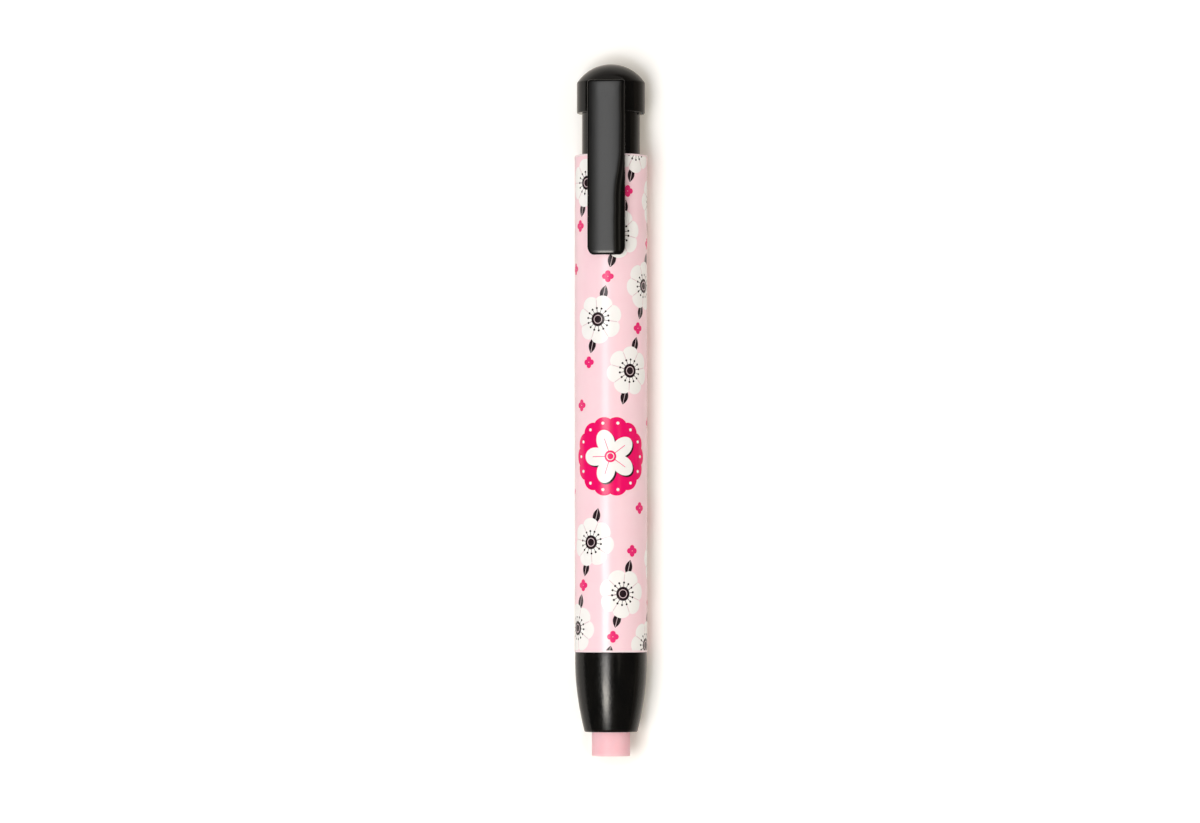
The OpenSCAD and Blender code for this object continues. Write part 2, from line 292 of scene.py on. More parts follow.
class Lathe:
    """Turns outlines round the pen's axis.

    Attributes:
        sides: Faces round a piece.
        fillet_steps: Faces across a fillet.
        longest: Share of a side of the outline that a fillet may take up.
        smallest: Radius under which a point counts as lying on the axis, in mm.
    """

    sides = 192
    fillet_steps = 5
    longest = 0.48
    smallest = 1e-4

    @staticmethod
    def soften(corners: Sequence[Triple]) -> list[Point]:
        """Rounds the corners of an outline.

        Args:
            corners: Station, radius and fillet of each corner, in mm, as a closed loop. A
                corner with no fillet stays sharp.

        Returns:
            The points of the rounded outline.
        """
        points: list[Point] = []
        count = len(corners)
        for index, (along, out, fillet) in enumerate(corners):
            corner = Vector((along, out))
            back = Vector(corners[index - 1][:2]) - corner
            ahead = Vector(corners[(index + 1) % count][:2]) - corner
            if fillet <= 0 or not back.length or not ahead.length:
                points.append((along, out))
                continue
            half = back.angle(ahead) / 2
            legs = (Lathe.longest * side.length for side in (back, ahead))
            reach = min(fillet / math.tan(half), *legs)
            radius = reach * math.tan(half)
            middle = (back.normalized() + ahead.normalized()).normalized()
            centre = corner + middle * (radius / math.sin(half))
            first = corner + back.normalized() * reach - centre
            last = corner + ahead.normalized() * reach - centre
            for step in range(Lathe.fillet_steps + 1):
                spoke = first.lerp(last, step / Lathe.fillet_steps).normalized() * radius
                points.append(tuple(centre + spoke))
        return points

    @staticmethod
    def arc(centre: Point, radius: float, start: float, end: float, steps: int) -> list[Triple]:
        """Corners along an arc.

        Args:
            centre: Station and radius of the arc's centre, in mm.
            radius: Radius of the arc, in mm.
            start: Angle of its first point, in degrees from the forward direction.
            end: Angle of its last point.
            steps: Number of pieces it is cut into.

        Returns:
            Unrounded corners, for soften().
        """
        corners = []
        for step in range(steps + 1):
            angle = math.radians(start + (end - start) * step / steps)
            along, out = math.cos(angle), math.sin(angle)
            corners.append((centre[0] + radius * along, centre[1] + radius * out, 0.0))
        return corners

    @classmethod
    def turn(
        cls, name: str, corners: Sequence[Triple], smooth_below: float = 35.0
    ) -> bpy.types.Object:
        """Turns an outline: a circle is extruded, moved and resized from ring to ring.

        Args:
            name: Name of the object.
            corners: Station, radius and fillet of the outline's corners, in mm. It closes on
                its first one, or runs from a point on the axis to another point on the axis.
            smooth_below: Edges flatter than this angle, in degrees, are shaded smooth.

        Returns:
            The turned piece.
        """
        outline = cls.soften(corners)
        rings = [point for point in outline if point[1] > cls.smallest]
        poles = [point[0] for point in outline if point[1] <= cls.smallest]
        if not poles:
            rings.append(rings[0])
        Workshop.put_down()
        start, radius = rings[0]
        bpy.ops.mesh.primitive_circle_add(
            vertices=cls.sides,
            radius=radius * MM,
            location=((start - MIDDLE_STATION) * MM, 0, AXIS_HEIGHT * MM),
            rotation=(0, math.pi / 2, 0),
        )
        piece = Workshop.added(name)
        with Workshop.editing(piece):
            bpy.ops.mesh.select_all(action="SELECT")
            for before, after in zip(rings, rings[1:]):
                cls._next_ring(before, after)
            if poles:
                cls._pole(rings[-1], poles[-1])
                cls._pick_ring(piece, rings[0])
                cls._pole(rings[0], poles[0])
        Workshop.close_up(piece, smooth_below)
        return piece

    @staticmethod
    def _next_ring(before: Point, after: Point) -> None:
        """Extrudes the selected ring and sets the new one at its station and radius.

        Args:
            before: Station and radius of the selected ring, in mm.
            after: The same of the new one.
        """
        bpy.ops.mesh.extrude_region()
        bpy.ops.transform.translate(value=((after[0] - before[0]) * MM, 0, 0))
        grow = after[1] / before[1]
        centre = ((after[0] - MIDDLE_STATION) * MM, 0, AXIS_HEIGHT * MM)
        bpy.ops.transform.resize(value=(1, grow, grow), center_override=centre)

    @staticmethod
    def _pole(ring: Point, station: float) -> None:
        """Closes the selected ring in one point on the axis.

        Args:
            ring: Station and radius of the ring, in mm.
            station: Station of the point.
        """
        bpy.ops.mesh.extrude_region()
        bpy.ops.transform.translate(value=((station - ring[0]) * MM, 0, 0))
        bpy.ops.mesh.merge(type="CENTER")

    @staticmethod
    def _pick_ring(piece: bpy.types.Object, ring: Point) -> None:
        """Selects the vertices of one ring by their place.

        Args:
            piece: The object in edit mode.
            ring: Station and radius of the ring, in mm.
        """
        bpy.ops.mesh.select_all(action="DESELECT")

        def on_ring(place: Vector) -> bool:
            """Says whether a place is on the ring."""
            out = math.hypot(place.y, place.z - AXIS_HEIGHT * MM)
            along = place.x - (ring[0] - MIDDLE_STATION) * MM
            return max(abs(along), abs(out - ring[1] * MM)) < Workshop.near

        Workshop.pick(piece, on_ring)


# Shader nodes


def math_method(operation: str, number_first: bool = False) -> Callable[..., "Signal"]:
    """Makes a method of Signal out of an operation of the Math node.

    Args:
        operation: The operation.
        number_first: Whether the other number comes before the signal.

    Returns:
        The method, which takes the operation's other numbers.
    """

    def method(self: "Signal", *others: "Signal | float") -> "Signal":
        """Gives the operation's result on this number and the others."""
        values = (*others, self) if number_first else (self, *others)
        return self.bench.maths(operation, *values)

    return method


@dataclass
class Signal:
    """A number that varies over a surface, with the usual signs for arithmetic.

    Attributes:
        bench: Where its nodes are made.
        socket: The output that carries it.
    """

    bench: "NodeBench"
    socket: Socket

    __add__ = math_method("ADD")
    __radd__ = math_method("ADD", number_first=True)
    __sub__ = math_method("SUBTRACT")
    __rsub__ = math_method("SUBTRACT", number_first=True)
    __mul__ = math_method("MULTIPLY")
    __rmul__ = math_method("MULTIPLY", number_first=True)
    __truediv__ = math_method("DIVIDE")
    __abs__ = math_method("ABSOLUTE")
    power = math_method("POWER")
    root = math_method("SQRT")
    sine = math_method("SINE")
    cosine = math_method("COSINE")
    angle_over = math_method("ARCTAN2")
    whole = math_method("ROUND")
    floor = math_method("FLOOR")
    smaller = math_method("MINIMUM")
    larger = math_method("MAXIMUM")
    below = math_method("LESS_THAN")
    above = math_method("GREATER_THAN")

    def wrapped(self, span: float) -> "Signal":
        """Brings this number into a span round 0 by whole spans."""
        return self.bench.maths("WRAP", self, span / 2, -span / 2)

    def hypotenuse(self, other: "Signal") -> "Signal":
        """Gives the distance whose legs are this number and another."""
        return (self * self + other * other).root()

    def blend(self, other: "Signal", share: float) -> "Signal":
        """Mixes this number, by its share, with another one."""
        return self * share + other * (1 - share)

    def spread(
        self, low: float, high: float, to_low: float = 0.0, to_high: float = 1.0
    ) -> "Signal":
        """Maps a range onto another, smoothly and without going past its ends.

        Args:
            low: Value that becomes to_low.
            high: Value that becomes to_high.
            to_low: First end of the new range.
            to_high: Second end of the new range.

        Returns:
            The mapped number.
        """
        made = self.bench.node("MapRange", interpolation_type="SMOOTHSTEP", clamp=True)
        for socket, given in zip(made.inputs, (self, low, high, to_low, to_high)):
            self.bench.feed(socket, given)
        return Signal(self.bench, made.outputs[0])

    def rises(self, over: Triple) -> "Signal":
        """Goes from 0 to a height, over a range given as its start, its end and the height."""
        start, end, height = over
        return self.spread(start, end, 0.0, height)

    def falls(self, over: Triple) -> "Signal":
        """Goes from a height to 0, over a range given as its start, its end and the height."""
        start, end, height = over
        return self.spread(start, end, height, 0.0)

    def drawn(self, edge: float = PRINT_EDGE) -> "Signal":
        """Gives 1 where this distance to an outline is negative, else 0, with a crisp edge."""
        return self.falls((-edge, edge, 1.0))


class NodeBench:
    """Adds and links the shader nodes of a material or of the world."""

    def __init__(self, owner: bpy.types.Material | bpy.types.World) -> None:
        """Opens a node tree and clears it.

        Args:
            owner: The material or the world that it belongs to.
        """
        owner.use_nodes = True
        self.tree = owner.node_tree
        self.tree.nodes.clear()

    def node(self, kind: str, **settings: object) -> bpy.types.Node:
        """Adds a node.

        Args:
            kind: The node's type, without "ShaderNode".
            **settings: Properties of the node.

        Returns:
            The node.
        """
        made = self.tree.nodes.new("ShaderNode" + kind)
        for name, value in settings.items():
            setattr(made, name, value)
        return made

    def feed(self, socket: Socket, value: Fed) -> None:
        """Links a result to an input, or sets the input to a plain value.

        Args:
            socket: The input.
            value: What it gets.
        """
        if isinstance(value, Signal):
            value = value.socket
        if isinstance(value, Socket):
            self.tree.links.new(value, socket)
        else:
            socket.default_value = value

    def fill(self, node: bpy.types.Node, inputs: dict[str | int, Fed]) -> None:
        """Feeds a node's inputs.

        Args:
            node: The node.
            inputs: What each input gets, by the input's name or number.
        """
        for name, value in inputs.items():
            self.feed(node.inputs[name], value)

    def maths(self, operation: str, *values: Signal | float) -> Signal:
        """Adds a math node.

        Args:
            operation: The node's operation.
            *values: Its inputs in order.

        Returns:
            Its result.
        """
        made = self.node("Math", operation=operation)
        self.fill(made, dict(enumerate(values)))
        return Signal(self, made.outputs[0])

    def rays(self) -> tuple[Signal, Signal, Signal]:
        """Tells the kinds of rays apart.

        Returns:
            1 for the camera's rays, for reflections and for rays through clear things, else 0.
        """
        path = self.node("LightPath")
        kinds = ("Is Camera Ray", "Is Glossy Ray", "Is Transmission Ray")
        camera, glossy, clear = (Signal(self, path.outputs[kind]) for kind in kinds)
        return camera, glossy, clear

    def place(self, kind: str = "Object", unit: float = MM) -> tuple[Signal, Signal, Signal]:
        """Reads where a point of the surface is.

        Args:
            kind: The coordinates that are read.
            unit: Length that counts as 1.

        Returns:
            Its X, Y and Z.
        """
        split = self.node("SeparateXYZ")
        self.feed(split.inputs[0], self.node("TexCoord").outputs[kind])
        along, side, height = (Signal(self, output) * (1 / unit) for output in split.outputs)
        return along, side, height

    def vector(self, *parts: Signal) -> Socket:
        """Joins two or three numbers into a vector.

        Args:
            *parts: The numbers.

        Returns:
            The vector.
        """
        made = self.node("CombineXYZ")
        self.fill(made, dict(enumerate(parts)))
        return made.outputs[0]

    def noise(
        self, where: Socket, scale: float, detail: float = 2.0, rough: float = 0.5
    ) -> Signal:
        """Adds a noise texture.

        Args:
            where: Vector that it reads, in mm.
            scale: Features per mm.
            detail: Octaves of finer noise.
            rough: Strength of the finer octaves.

        Returns:
            A number about 0.5, mostly between 0.3 and 0.7.
        """
        made = self.node("TexNoise", noise_dimensions="3D")
        self.fill(made, {"Vector": where, "Scale": scale, "Detail": detail, "Roughness": rough})
        return Signal(self, made.outputs["Fac"])

    def mix(self, share: Signal | float, under: Socket | Colour, over: Socket | Colour) -> Socket:
        """Lays one colour over another.

        Args:
            share: How much of the upper colour shows, 0 to 1.
            under: The lower colour.
            over: The upper colour.

        Returns:
            The mixed colour.
        """
        made = self.node("Mix", data_type="RGBA", clamp_factor=True)
        factor, first_colour, second_colour, result = 0, 6, 7, 2
        self.fill(made, {factor: share, first_colour: under, second_colour: over})
        return made.outputs[result]

    def relief(self, *layers: tuple[Signal, float]) -> Socket:
        """Lays bumps over each other, from the coarsest to the finest.

        Args:
            *layers: Height of each, and the real height of one unit of it, in mm.

        Returns:
            The normal.
        """
        normal = None
        for height, depth in layers:
            made = self.node("Bump")
            self.fill(made, {"Strength": 1.0, "Distance": depth * MM, "Height": height})
            if normal is not None:
                self.feed(made.inputs["Normal"], normal)
            normal = made.outputs[0]
        return normal

    def end(self, kind: str, result: Socket) -> None:
        """Ends the tree in an output node of a kind, fed by a shader's result."""
        self.feed(self.node(kind).inputs["Surface"], result)


# Finishes


@dataclass(frozen=True)
class Finish:
    """A surface finish: what every material here has, and how it is built.

    Attributes:
        name: Name of the material.
        slot: Slot of the record that the finish stands for; not used.
    """

    name: str
    slot: Slot

    def material(self) -> bpy.types.Material:
        """Gives the finish's material, which is made the first time.

        Returns:
            The material.
        """
        known = bpy.data.materials.get(self.name)
        if known:
            return known
        made = bpy.data.materials.new(self.name)
        bench = NodeBench(made)
        shader = bench.node("BsdfPrincipled")
        bench.end("OutputMaterial", shader.outputs[0])
        self.lay(bench, shader)
        return made

    def lay(self, bench: NodeBench, shader: bpy.types.Node) -> None:
        """Builds the finish's own nodes.

        Args:
            bench: Where the nodes are made.
            shader: The Principled shader to feed.
        """
        raise NotImplementedError


@dataclass(frozen=True)
class MouldedPlastic(Finish):
    """Injection-moulded plastic: slight orange peel, fine grain and flow marks.

    Attributes:
        colour: Main colour.
        tint: Colour that the main one drifts to.
        roughness: Lowest and highest roughness.
        grain: Depth of the fine grain, in mm.
        grain_scale: Grains per mm.
        peel: Depth of the orange peel, in mm.
        peel_scale: Dents of the orange peel per mm.
        flow_scale: Flow marks per mm across the pen.
        flow_stretch: Flow marks along the pen for one across it.
        refraction: Index of refraction, which sets the gloss.
    """

    colour: Colour
    tint: Colour
    roughness: Point
    grain: float = 0.0006
    grain_scale: float = 6.0
    peel: float = 0.002
    peel_scale: float = 0.9
    flow_scale: float = 0.5
    flow_stretch: float = 0.35
    refraction: float = 1.5

    def lay(self, bench: NodeBench, shader: bpy.types.Node) -> None:
        """Builds the plastic's nodes; see Finish.lay."""
        along, side, height = bench.place()
        where = bench.vector(along, side, height)
        flow = bench.noise(
            bench.vector(along * self.flow_stretch, side, height), self.flow_scale, detail=3.0
        )
        fine = bench.noise(where, self.grain_scale, detail=3.0, rough=0.6)
        soft = bench.noise(where, self.peel_scale)
        bench.fill(shader, {
            "Base Color": bench.mix(flow.spread(*NOISE_MAIN), self.colour, self.tint),
            "Roughness": fine.blend(flow, share=0.6).spread(*NOISE_CORE, *self.roughness),
            "Normal": bench.relief((soft, self.peel), (fine, self.grain)),
            "IOR": self.refraction,
        })


@dataclass(frozen=True)
class EraserVinyl(Finish):
    """Soft eraser vinyl: matte, dusty, with shallow scuffs.

    Attributes:
        colour: Main colour.
        dusty: Colour of the dust film.
        worn: Colour of the rubbed edge.
        tip: Station of the eraser's front face, in mm.
        radius: Radius of the eraser, in mm.
        dust: Noise values that the dust goes from none to most between, and the most of it.
        wear: Distances from the edge that the wear goes from most to none between, in mm, and
            the most of it.
        ragged: How far the noise makes the wear ragged, in mm.
        roughness: Lowest and highest roughness.
        scuff: Depth of the scuffs, in mm.
        scuff_stretch: Scuffs along the pen for one across it.
        grain: Depth of the fine grain, in mm.
        refraction: Index of refraction.
        soft: How much of the light goes under the surface.
        depth: How far it goes, in mm.
        reach: Share of that for red, green and blue.
    """

    colour: Colour
    dusty: Colour
    worn: Colour
    tip: float
    radius: float
    dust: Triple = (0.42, 0.68, 0.55)
    wear: Triple = (0.15, 0.75, 0.7)
    ragged: float = 0.3
    roughness: Point = (0.62, 0.82)
    scuff: float = 0.012
    scuff_stretch: float = 0.25
    grain: float = 0.006
    refraction: float = 1.45
    soft: float = 0.25
    depth: float = 1.5
    reach: Triple = (1.0, 0.35, 0.35)

    def lay(self, bench: NodeBench, shader: bpy.types.Node) -> None:
        """Builds the vinyl's nodes; see Finish.lay."""
        along, side, height = bench.place()
        where = bench.vector(along, side, height)
        cloud = bench.noise(where, scale=0.45, detail=4.0, rough=0.6)
        fine = bench.noise(where, scale=9.0, detail=3.0, rough=0.7)
        drawn_out = bench.vector(along * self.scuff_stretch, side, height)
        streak = bench.noise(drawn_out, scale=3.0, detail=3.0, rough=0.6)
        dust = cloud.blend(fine, share=0.6).rises(self.dust)
        to_face = (self.tip - MIDDLE_STATION) - along
        to_side = self.radius - side.hypotenuse(height - AXIS_HEIGHT)
        rim = (to_face + to_side + fine * self.ragged).falls(self.wear)
        dusted = bench.mix(dust, self.colour, self.dusty)
        bench.fill(shader, {
            "Base Color": bench.mix(rim, dusted, self.worn),
            "Roughness": streak.spread(*NOISE_MAIN, *self.roughness),
            "Normal": bench.relief((streak, self.scuff), (fine, self.grain)),
            "IOR": self.refraction,
            "Subsurface Weight": self.soft,
            "Subsurface Radius": self.reach,
            "Subsurface Scale": self.depth * MM,
        })


@dataclass(frozen=True)
class TurnedMetal(Finish):
    """Bright metal with tool marks round the pen's axis or along a drawn wire.

    Attributes:
        colour: Clean metal.
        dull: Colour where it has dulled.
        marks: Tool marks per mm along the axis.
        roughness: Lowest and highest roughness.
        across: Changes of the tool marks per mm across the axis.
        mark_depth: Depth of the tool marks, in mm.
        dulling: Noise values that the dulling goes from none to most between, and the most.
        shine: Noise values that the roughness goes from lowest to highest between.
    """

    colour: Colour
    dull: Colour
    marks: float
    roughness: Point
    across: float = 0.05
    mark_depth: float = 0.003
    dulling: Triple = (0.4, 0.7, 0.8)
    shine: Point = (0.4, 0.6)

    def lay(self, bench: NodeBench, shader: bpy.types.Node) -> None:
        """Builds the metal's nodes; see Finish.lay."""
        along, side, height = bench.place()
        turned = bench.vector(along * self.marks, side * self.across, height * self.across)
        rings = bench.noise(turned, scale=1.0)
        cloud = bench.noise(bench.vector(along, side, height), scale=0.8, detail=4.0, rough=0.6)
        bench.fill(shader, {
            "Base Color": bench.mix(cloud.rises(self.dulling), self.colour, self.dull),
            "Roughness": cloud.blend(rings, share=0.5).spread(*self.shine, *self.roughness),
            "Normal": bench.relief((rings, self.mark_depth)),
            "Metallic": 1.0,
        })


# Print


@dataclass(frozen=True)
class Spot:
    """Where a point of the film lies from the middle of a motif, as if the film lay flat.

    Attributes:
        x: Distance along the pen, in mm.
        s: Distance round it, in mm.
    """

    x: Signal
    s: Signal

    @cached_property
    def radius(self) -> Signal:
        """Distance from the middle."""
        return self.x.hypotenuse(self.s)

    @cached_property
    def angle(self) -> Signal:
        """Direction from the middle."""
        return self.s.angle_over(self.x)

    def away(self, other: "Spot") -> Signal:
        """Gives the distance between the middles that two spots count from."""
        return (self.x - other.x).hypotenuse(self.s - other.s)

    def blade(self, count: int, turn: Signal | float = 0.0) -> tuple[Signal, Signal]:
        """Folds the whole turn round the middle into equal blades.

        Args:
            count: Number of blades.
            turn: Angle that they are turned by.

        Returns:
            Distances along the nearest blade and across it.
        """
        angle = (self.angle + turn).wrapped(2 * math.pi / count)
        return self.radius * angle.cosine(), self.radius * angle.sine()


@dataclass(frozen=True)
class Inks:
    """Colours of the print.

    Attributes:
        ground: Pale ground.
        white: White of the petals.
        dark: Near black of the flowers' middles and of the leaves.
        hot: Strong pink of the rosettes.
        accent: Pink of the small blossoms.
        vein: Pale lines between and on the petals.
    """

    ground: Colour = srgb(255, 217, 225)
    white: Colour = srgb(252, 249, 246)
    dark: Colour = srgb(38, 24, 30)
    hot: Colour = srgb(243, 4, 103)
    accent: Colour = srgb(240, 44, 118)
    vein: Colour = srgb(232, 208, 212)


class Canvas:
    """The film's colour while it is painted, one ink over another."""

    def __init__(self, bench: NodeBench, colour: Socket) -> None:
        """Starts on a ground of some colour."""
        self.bench, self.colour = bench, colour

    def paint(self, share: Signal, ink: Colour) -> None:
        """Lays an ink over what is painted, by its share at each point."""
        self.colour = self.bench.mix(share, self.colour, ink)


@dataclass(frozen=True)
class Leaf:
    """Two leaves on opposite sides of a flower.

    Attributes:
        middle: Distance of a leaf's middle from the flower's.
        length: Half its length.
        width: Half its width.
        rib: Half the width of its rib.
        margin: How far inside the leaf's edge the rib ends.
    """

    middle: float = 4.75
    length: float = 1.45
    width: float = 0.72
    rib: float = 0.045
    margin: float = 0.15

    def draw(
        self, canvas: Canvas, spot: Spot, heading: float, shown: Signal, inks: Inks
    ) -> None:
        """Paints the leaves.

        Args:
            canvas: What they are painted on.
            spot: Place from the flower's middle.
            heading: Direction that they point in.
            shown: 1 where the flower stands, else 0.
            inks: The print's colours.
        """
        ahead, beside = math.cos(heading), math.sin(heading)
        out = spot.x * ahead + spot.s * beside
        across = abs(spot.s * ahead - spot.x * beside)
        reach = (abs(out) - self.middle) / self.length
        edge = across - (1.0 - reach * reach) * self.width
        canvas.paint(edge.drawn() * shown, inks.dark)
        rib = (across - self.rib).larger(edge + self.margin)
        canvas.paint(rib.drawn() * shown, inks.vein)


@dataclass(frozen=True)
class Flower:
    """Open flower with a dark middle and a ring of stamens.

    Attributes:
        radius: Radius to the petals' ends.
        petals: Number of petals.
        dent: Share of the radius that is missing between two petals.
        bulge: How blunt the petals' ends are: the less, the blunter.
        seam: Half the width of the line between two petals.
        margin: How far inside the petals' edge that line ends.
        stamens: Number of stamens.
        stamen: Radius that a stamen ends at, radius of its head and half its stalk's width.
        middle: Radius of the dark middle.
        ring: Radius of the pale ring in it and half the ring's width.
    """

    radius: float = 4.35
    petals: int = 7
    dent: float = 0.2
    bulge: float = 0.5
    seam: float = 0.07
    margin: float = 0.12
    stamens: int = 14
    stamen: Triple = (2.0, 0.19, 0.045)
    middle: float = 1.25
    ring: Point = (0.72, 0.06)

    def draw(
        self, canvas: Canvas, spot: Spot, spin: Signal, shown: Signal, inks: Inks
    ) -> None:
        """Paints the flower.

        Args:
            canvas: What it is painted on.
            spot: Place from the flower's middle.
            spin: Angle that the flower is turned by.
            shown: 1 where the flower stands, else 0.
            inks: The print's colours.
        """
        wave = abs(((spot.angle + spin) * (self.petals / 2)).sine())
        edge = spot.radius - self.radius * (1 - self.dent + self.dent * wave.power(self.bulge))
        seam = (spot.radius * wave * (2 / self.petals) - self.seam).larger(edge + self.margin)
        end, head, stalk = self.stamen
        out, across = spot.blade(self.stamens, spin)
        heads = (out - end).hypotenuse(across) - head
        stalks = (abs(across) - stalk).larger(spot.radius - end)
        dark = heads.smaller(stalks).smaller(spot.radius - self.middle)
        ring, half = self.ring
        pale = abs(spot.radius - ring) - half
        layers = ((edge, inks.white), (seam, inks.vein), (dark, inks.dark), (pale, inks.vein))
        for outline, ink in layers:
            canvas.paint(outline.drawn() * shown, ink)


@dataclass(frozen=True)
class Blossom:
    """Small blossom with round petals.

    Attributes:
        petals: Number of petals.
        petal_at: Distance of a petal's middle from the blossom's.
        petal_radius: Radius of a petal.
    """

    petals: int = 4
    petal_at: float = 0.56
    petal_radius: float = 0.5

    def edge(self, spot: Spot) -> Signal:
        """Gives the distance to the blossom's outline, which is negative inside."""
        out, across = spot.blade(self.petals)
        return (out - self.petal_at).hypotenuse(across) - self.petal_radius


@dataclass(frozen=True)
class Rosette:
    """Large rosette: a scalloped disc, a ring of dots and a white blossom with its shadow.

    Attributes:
        radius: Radius to the scallops' ends.
        scallops: Number of scallops and of dots.
        dent: Share of the radius that is missing between two scallops.
        bulge: How blunt the scallops are: the less, the blunter.
        dots: Radius that the dots stand at, and radius of a dot.
        petals: Number of the blossom's petals.
        turn: Angle that the blossom is turned by.
        petal: Distance of a petal's middle from the blossom's, and half its length and width.
        petal_unit: What one unit of the distance to a petal's outline comes to, in mm.
        shadow: How far the shadow is moved along and round the pen, and how soft its edge is.
        vein: Radii that a petal's vein starts and ends at, and half its width.
        eye: Radius of the blossom's eye, radius of the ring in it and half the ring's width.
    """

    radius: float = 7.1
    scallops: int = 14
    dent: float = 0.07
    bulge: float = 0.7
    dots: Point = (6.05, 0.27)
    petals: int = 5
    turn: float = 0.3
    petal: Triple = (2.75, 2.15, 1.62)
    petal_unit: float = 1.7
    shadow: Point = (0.28, 0.06)
    vein: Triple = (0.9, 3.3, 0.06)
    eye: Triple = (1.05, 0.62, 0.07)

    def petal_edge(self, spot: Spot) -> Signal:
        """Measures the distance to the blossom's outline, which is negative inside.

        Args:
            spot: Place from the blossom's middle.

        Returns:
            The distance, in mm.
        """
        out, across = spot.blade(self.petals, self.turn)
        middle, length, width = self.petal
        return (((out - middle) / length).hypotenuse(across / width) - 1.0) * self.petal_unit

    def draw(self, canvas: Canvas, spot: Spot, inks: Inks) -> None:
        """Paints the rosette.

        Args:
            canvas: What it is painted on.
            spot: Place from the rosette's middle.
            inks: The print's colours.
        """
        wave = abs((spot.angle * (self.scallops / 2)).sine()).power(self.bulge)
        disc = spot.radius - self.radius * (1 - self.dent + self.dent * wave)
        out, across = spot.blade(self.scallops, math.pi / self.scallops)
        ring, dot = self.dots
        dots = (out - ring).hypotenuse(across) - dot
        shift, blur = self.shadow
        shadow = self.petal_edge(Spot(spot.x - shift, spot.s - shift))
        start, end, half = self.vein
        vein = abs(spot.blade(self.petals, self.turn)[1]) - half
        vein = vein.larger(spot.radius - end).larger(start - spot.radius)
        eye, ring, half = self.eye
        for outline, ink, edge in (
            (disc, inks.hot, PRINT_EDGE),
            (dots, inks.white, PRINT_EDGE),
            (shadow, inks.dark, blur),
            (self.petal_edge(spot), inks.white, PRINT_EDGE),
            (vein, inks.accent, PRINT_EDGE),
            (spot.radius - eye, inks.hot, PRINT_EDGE),
            (abs(spot.radius - ring) - half, inks.white, PRINT_EDGE),
        ):
            canvas.paint(outline.drawn(edge), ink)


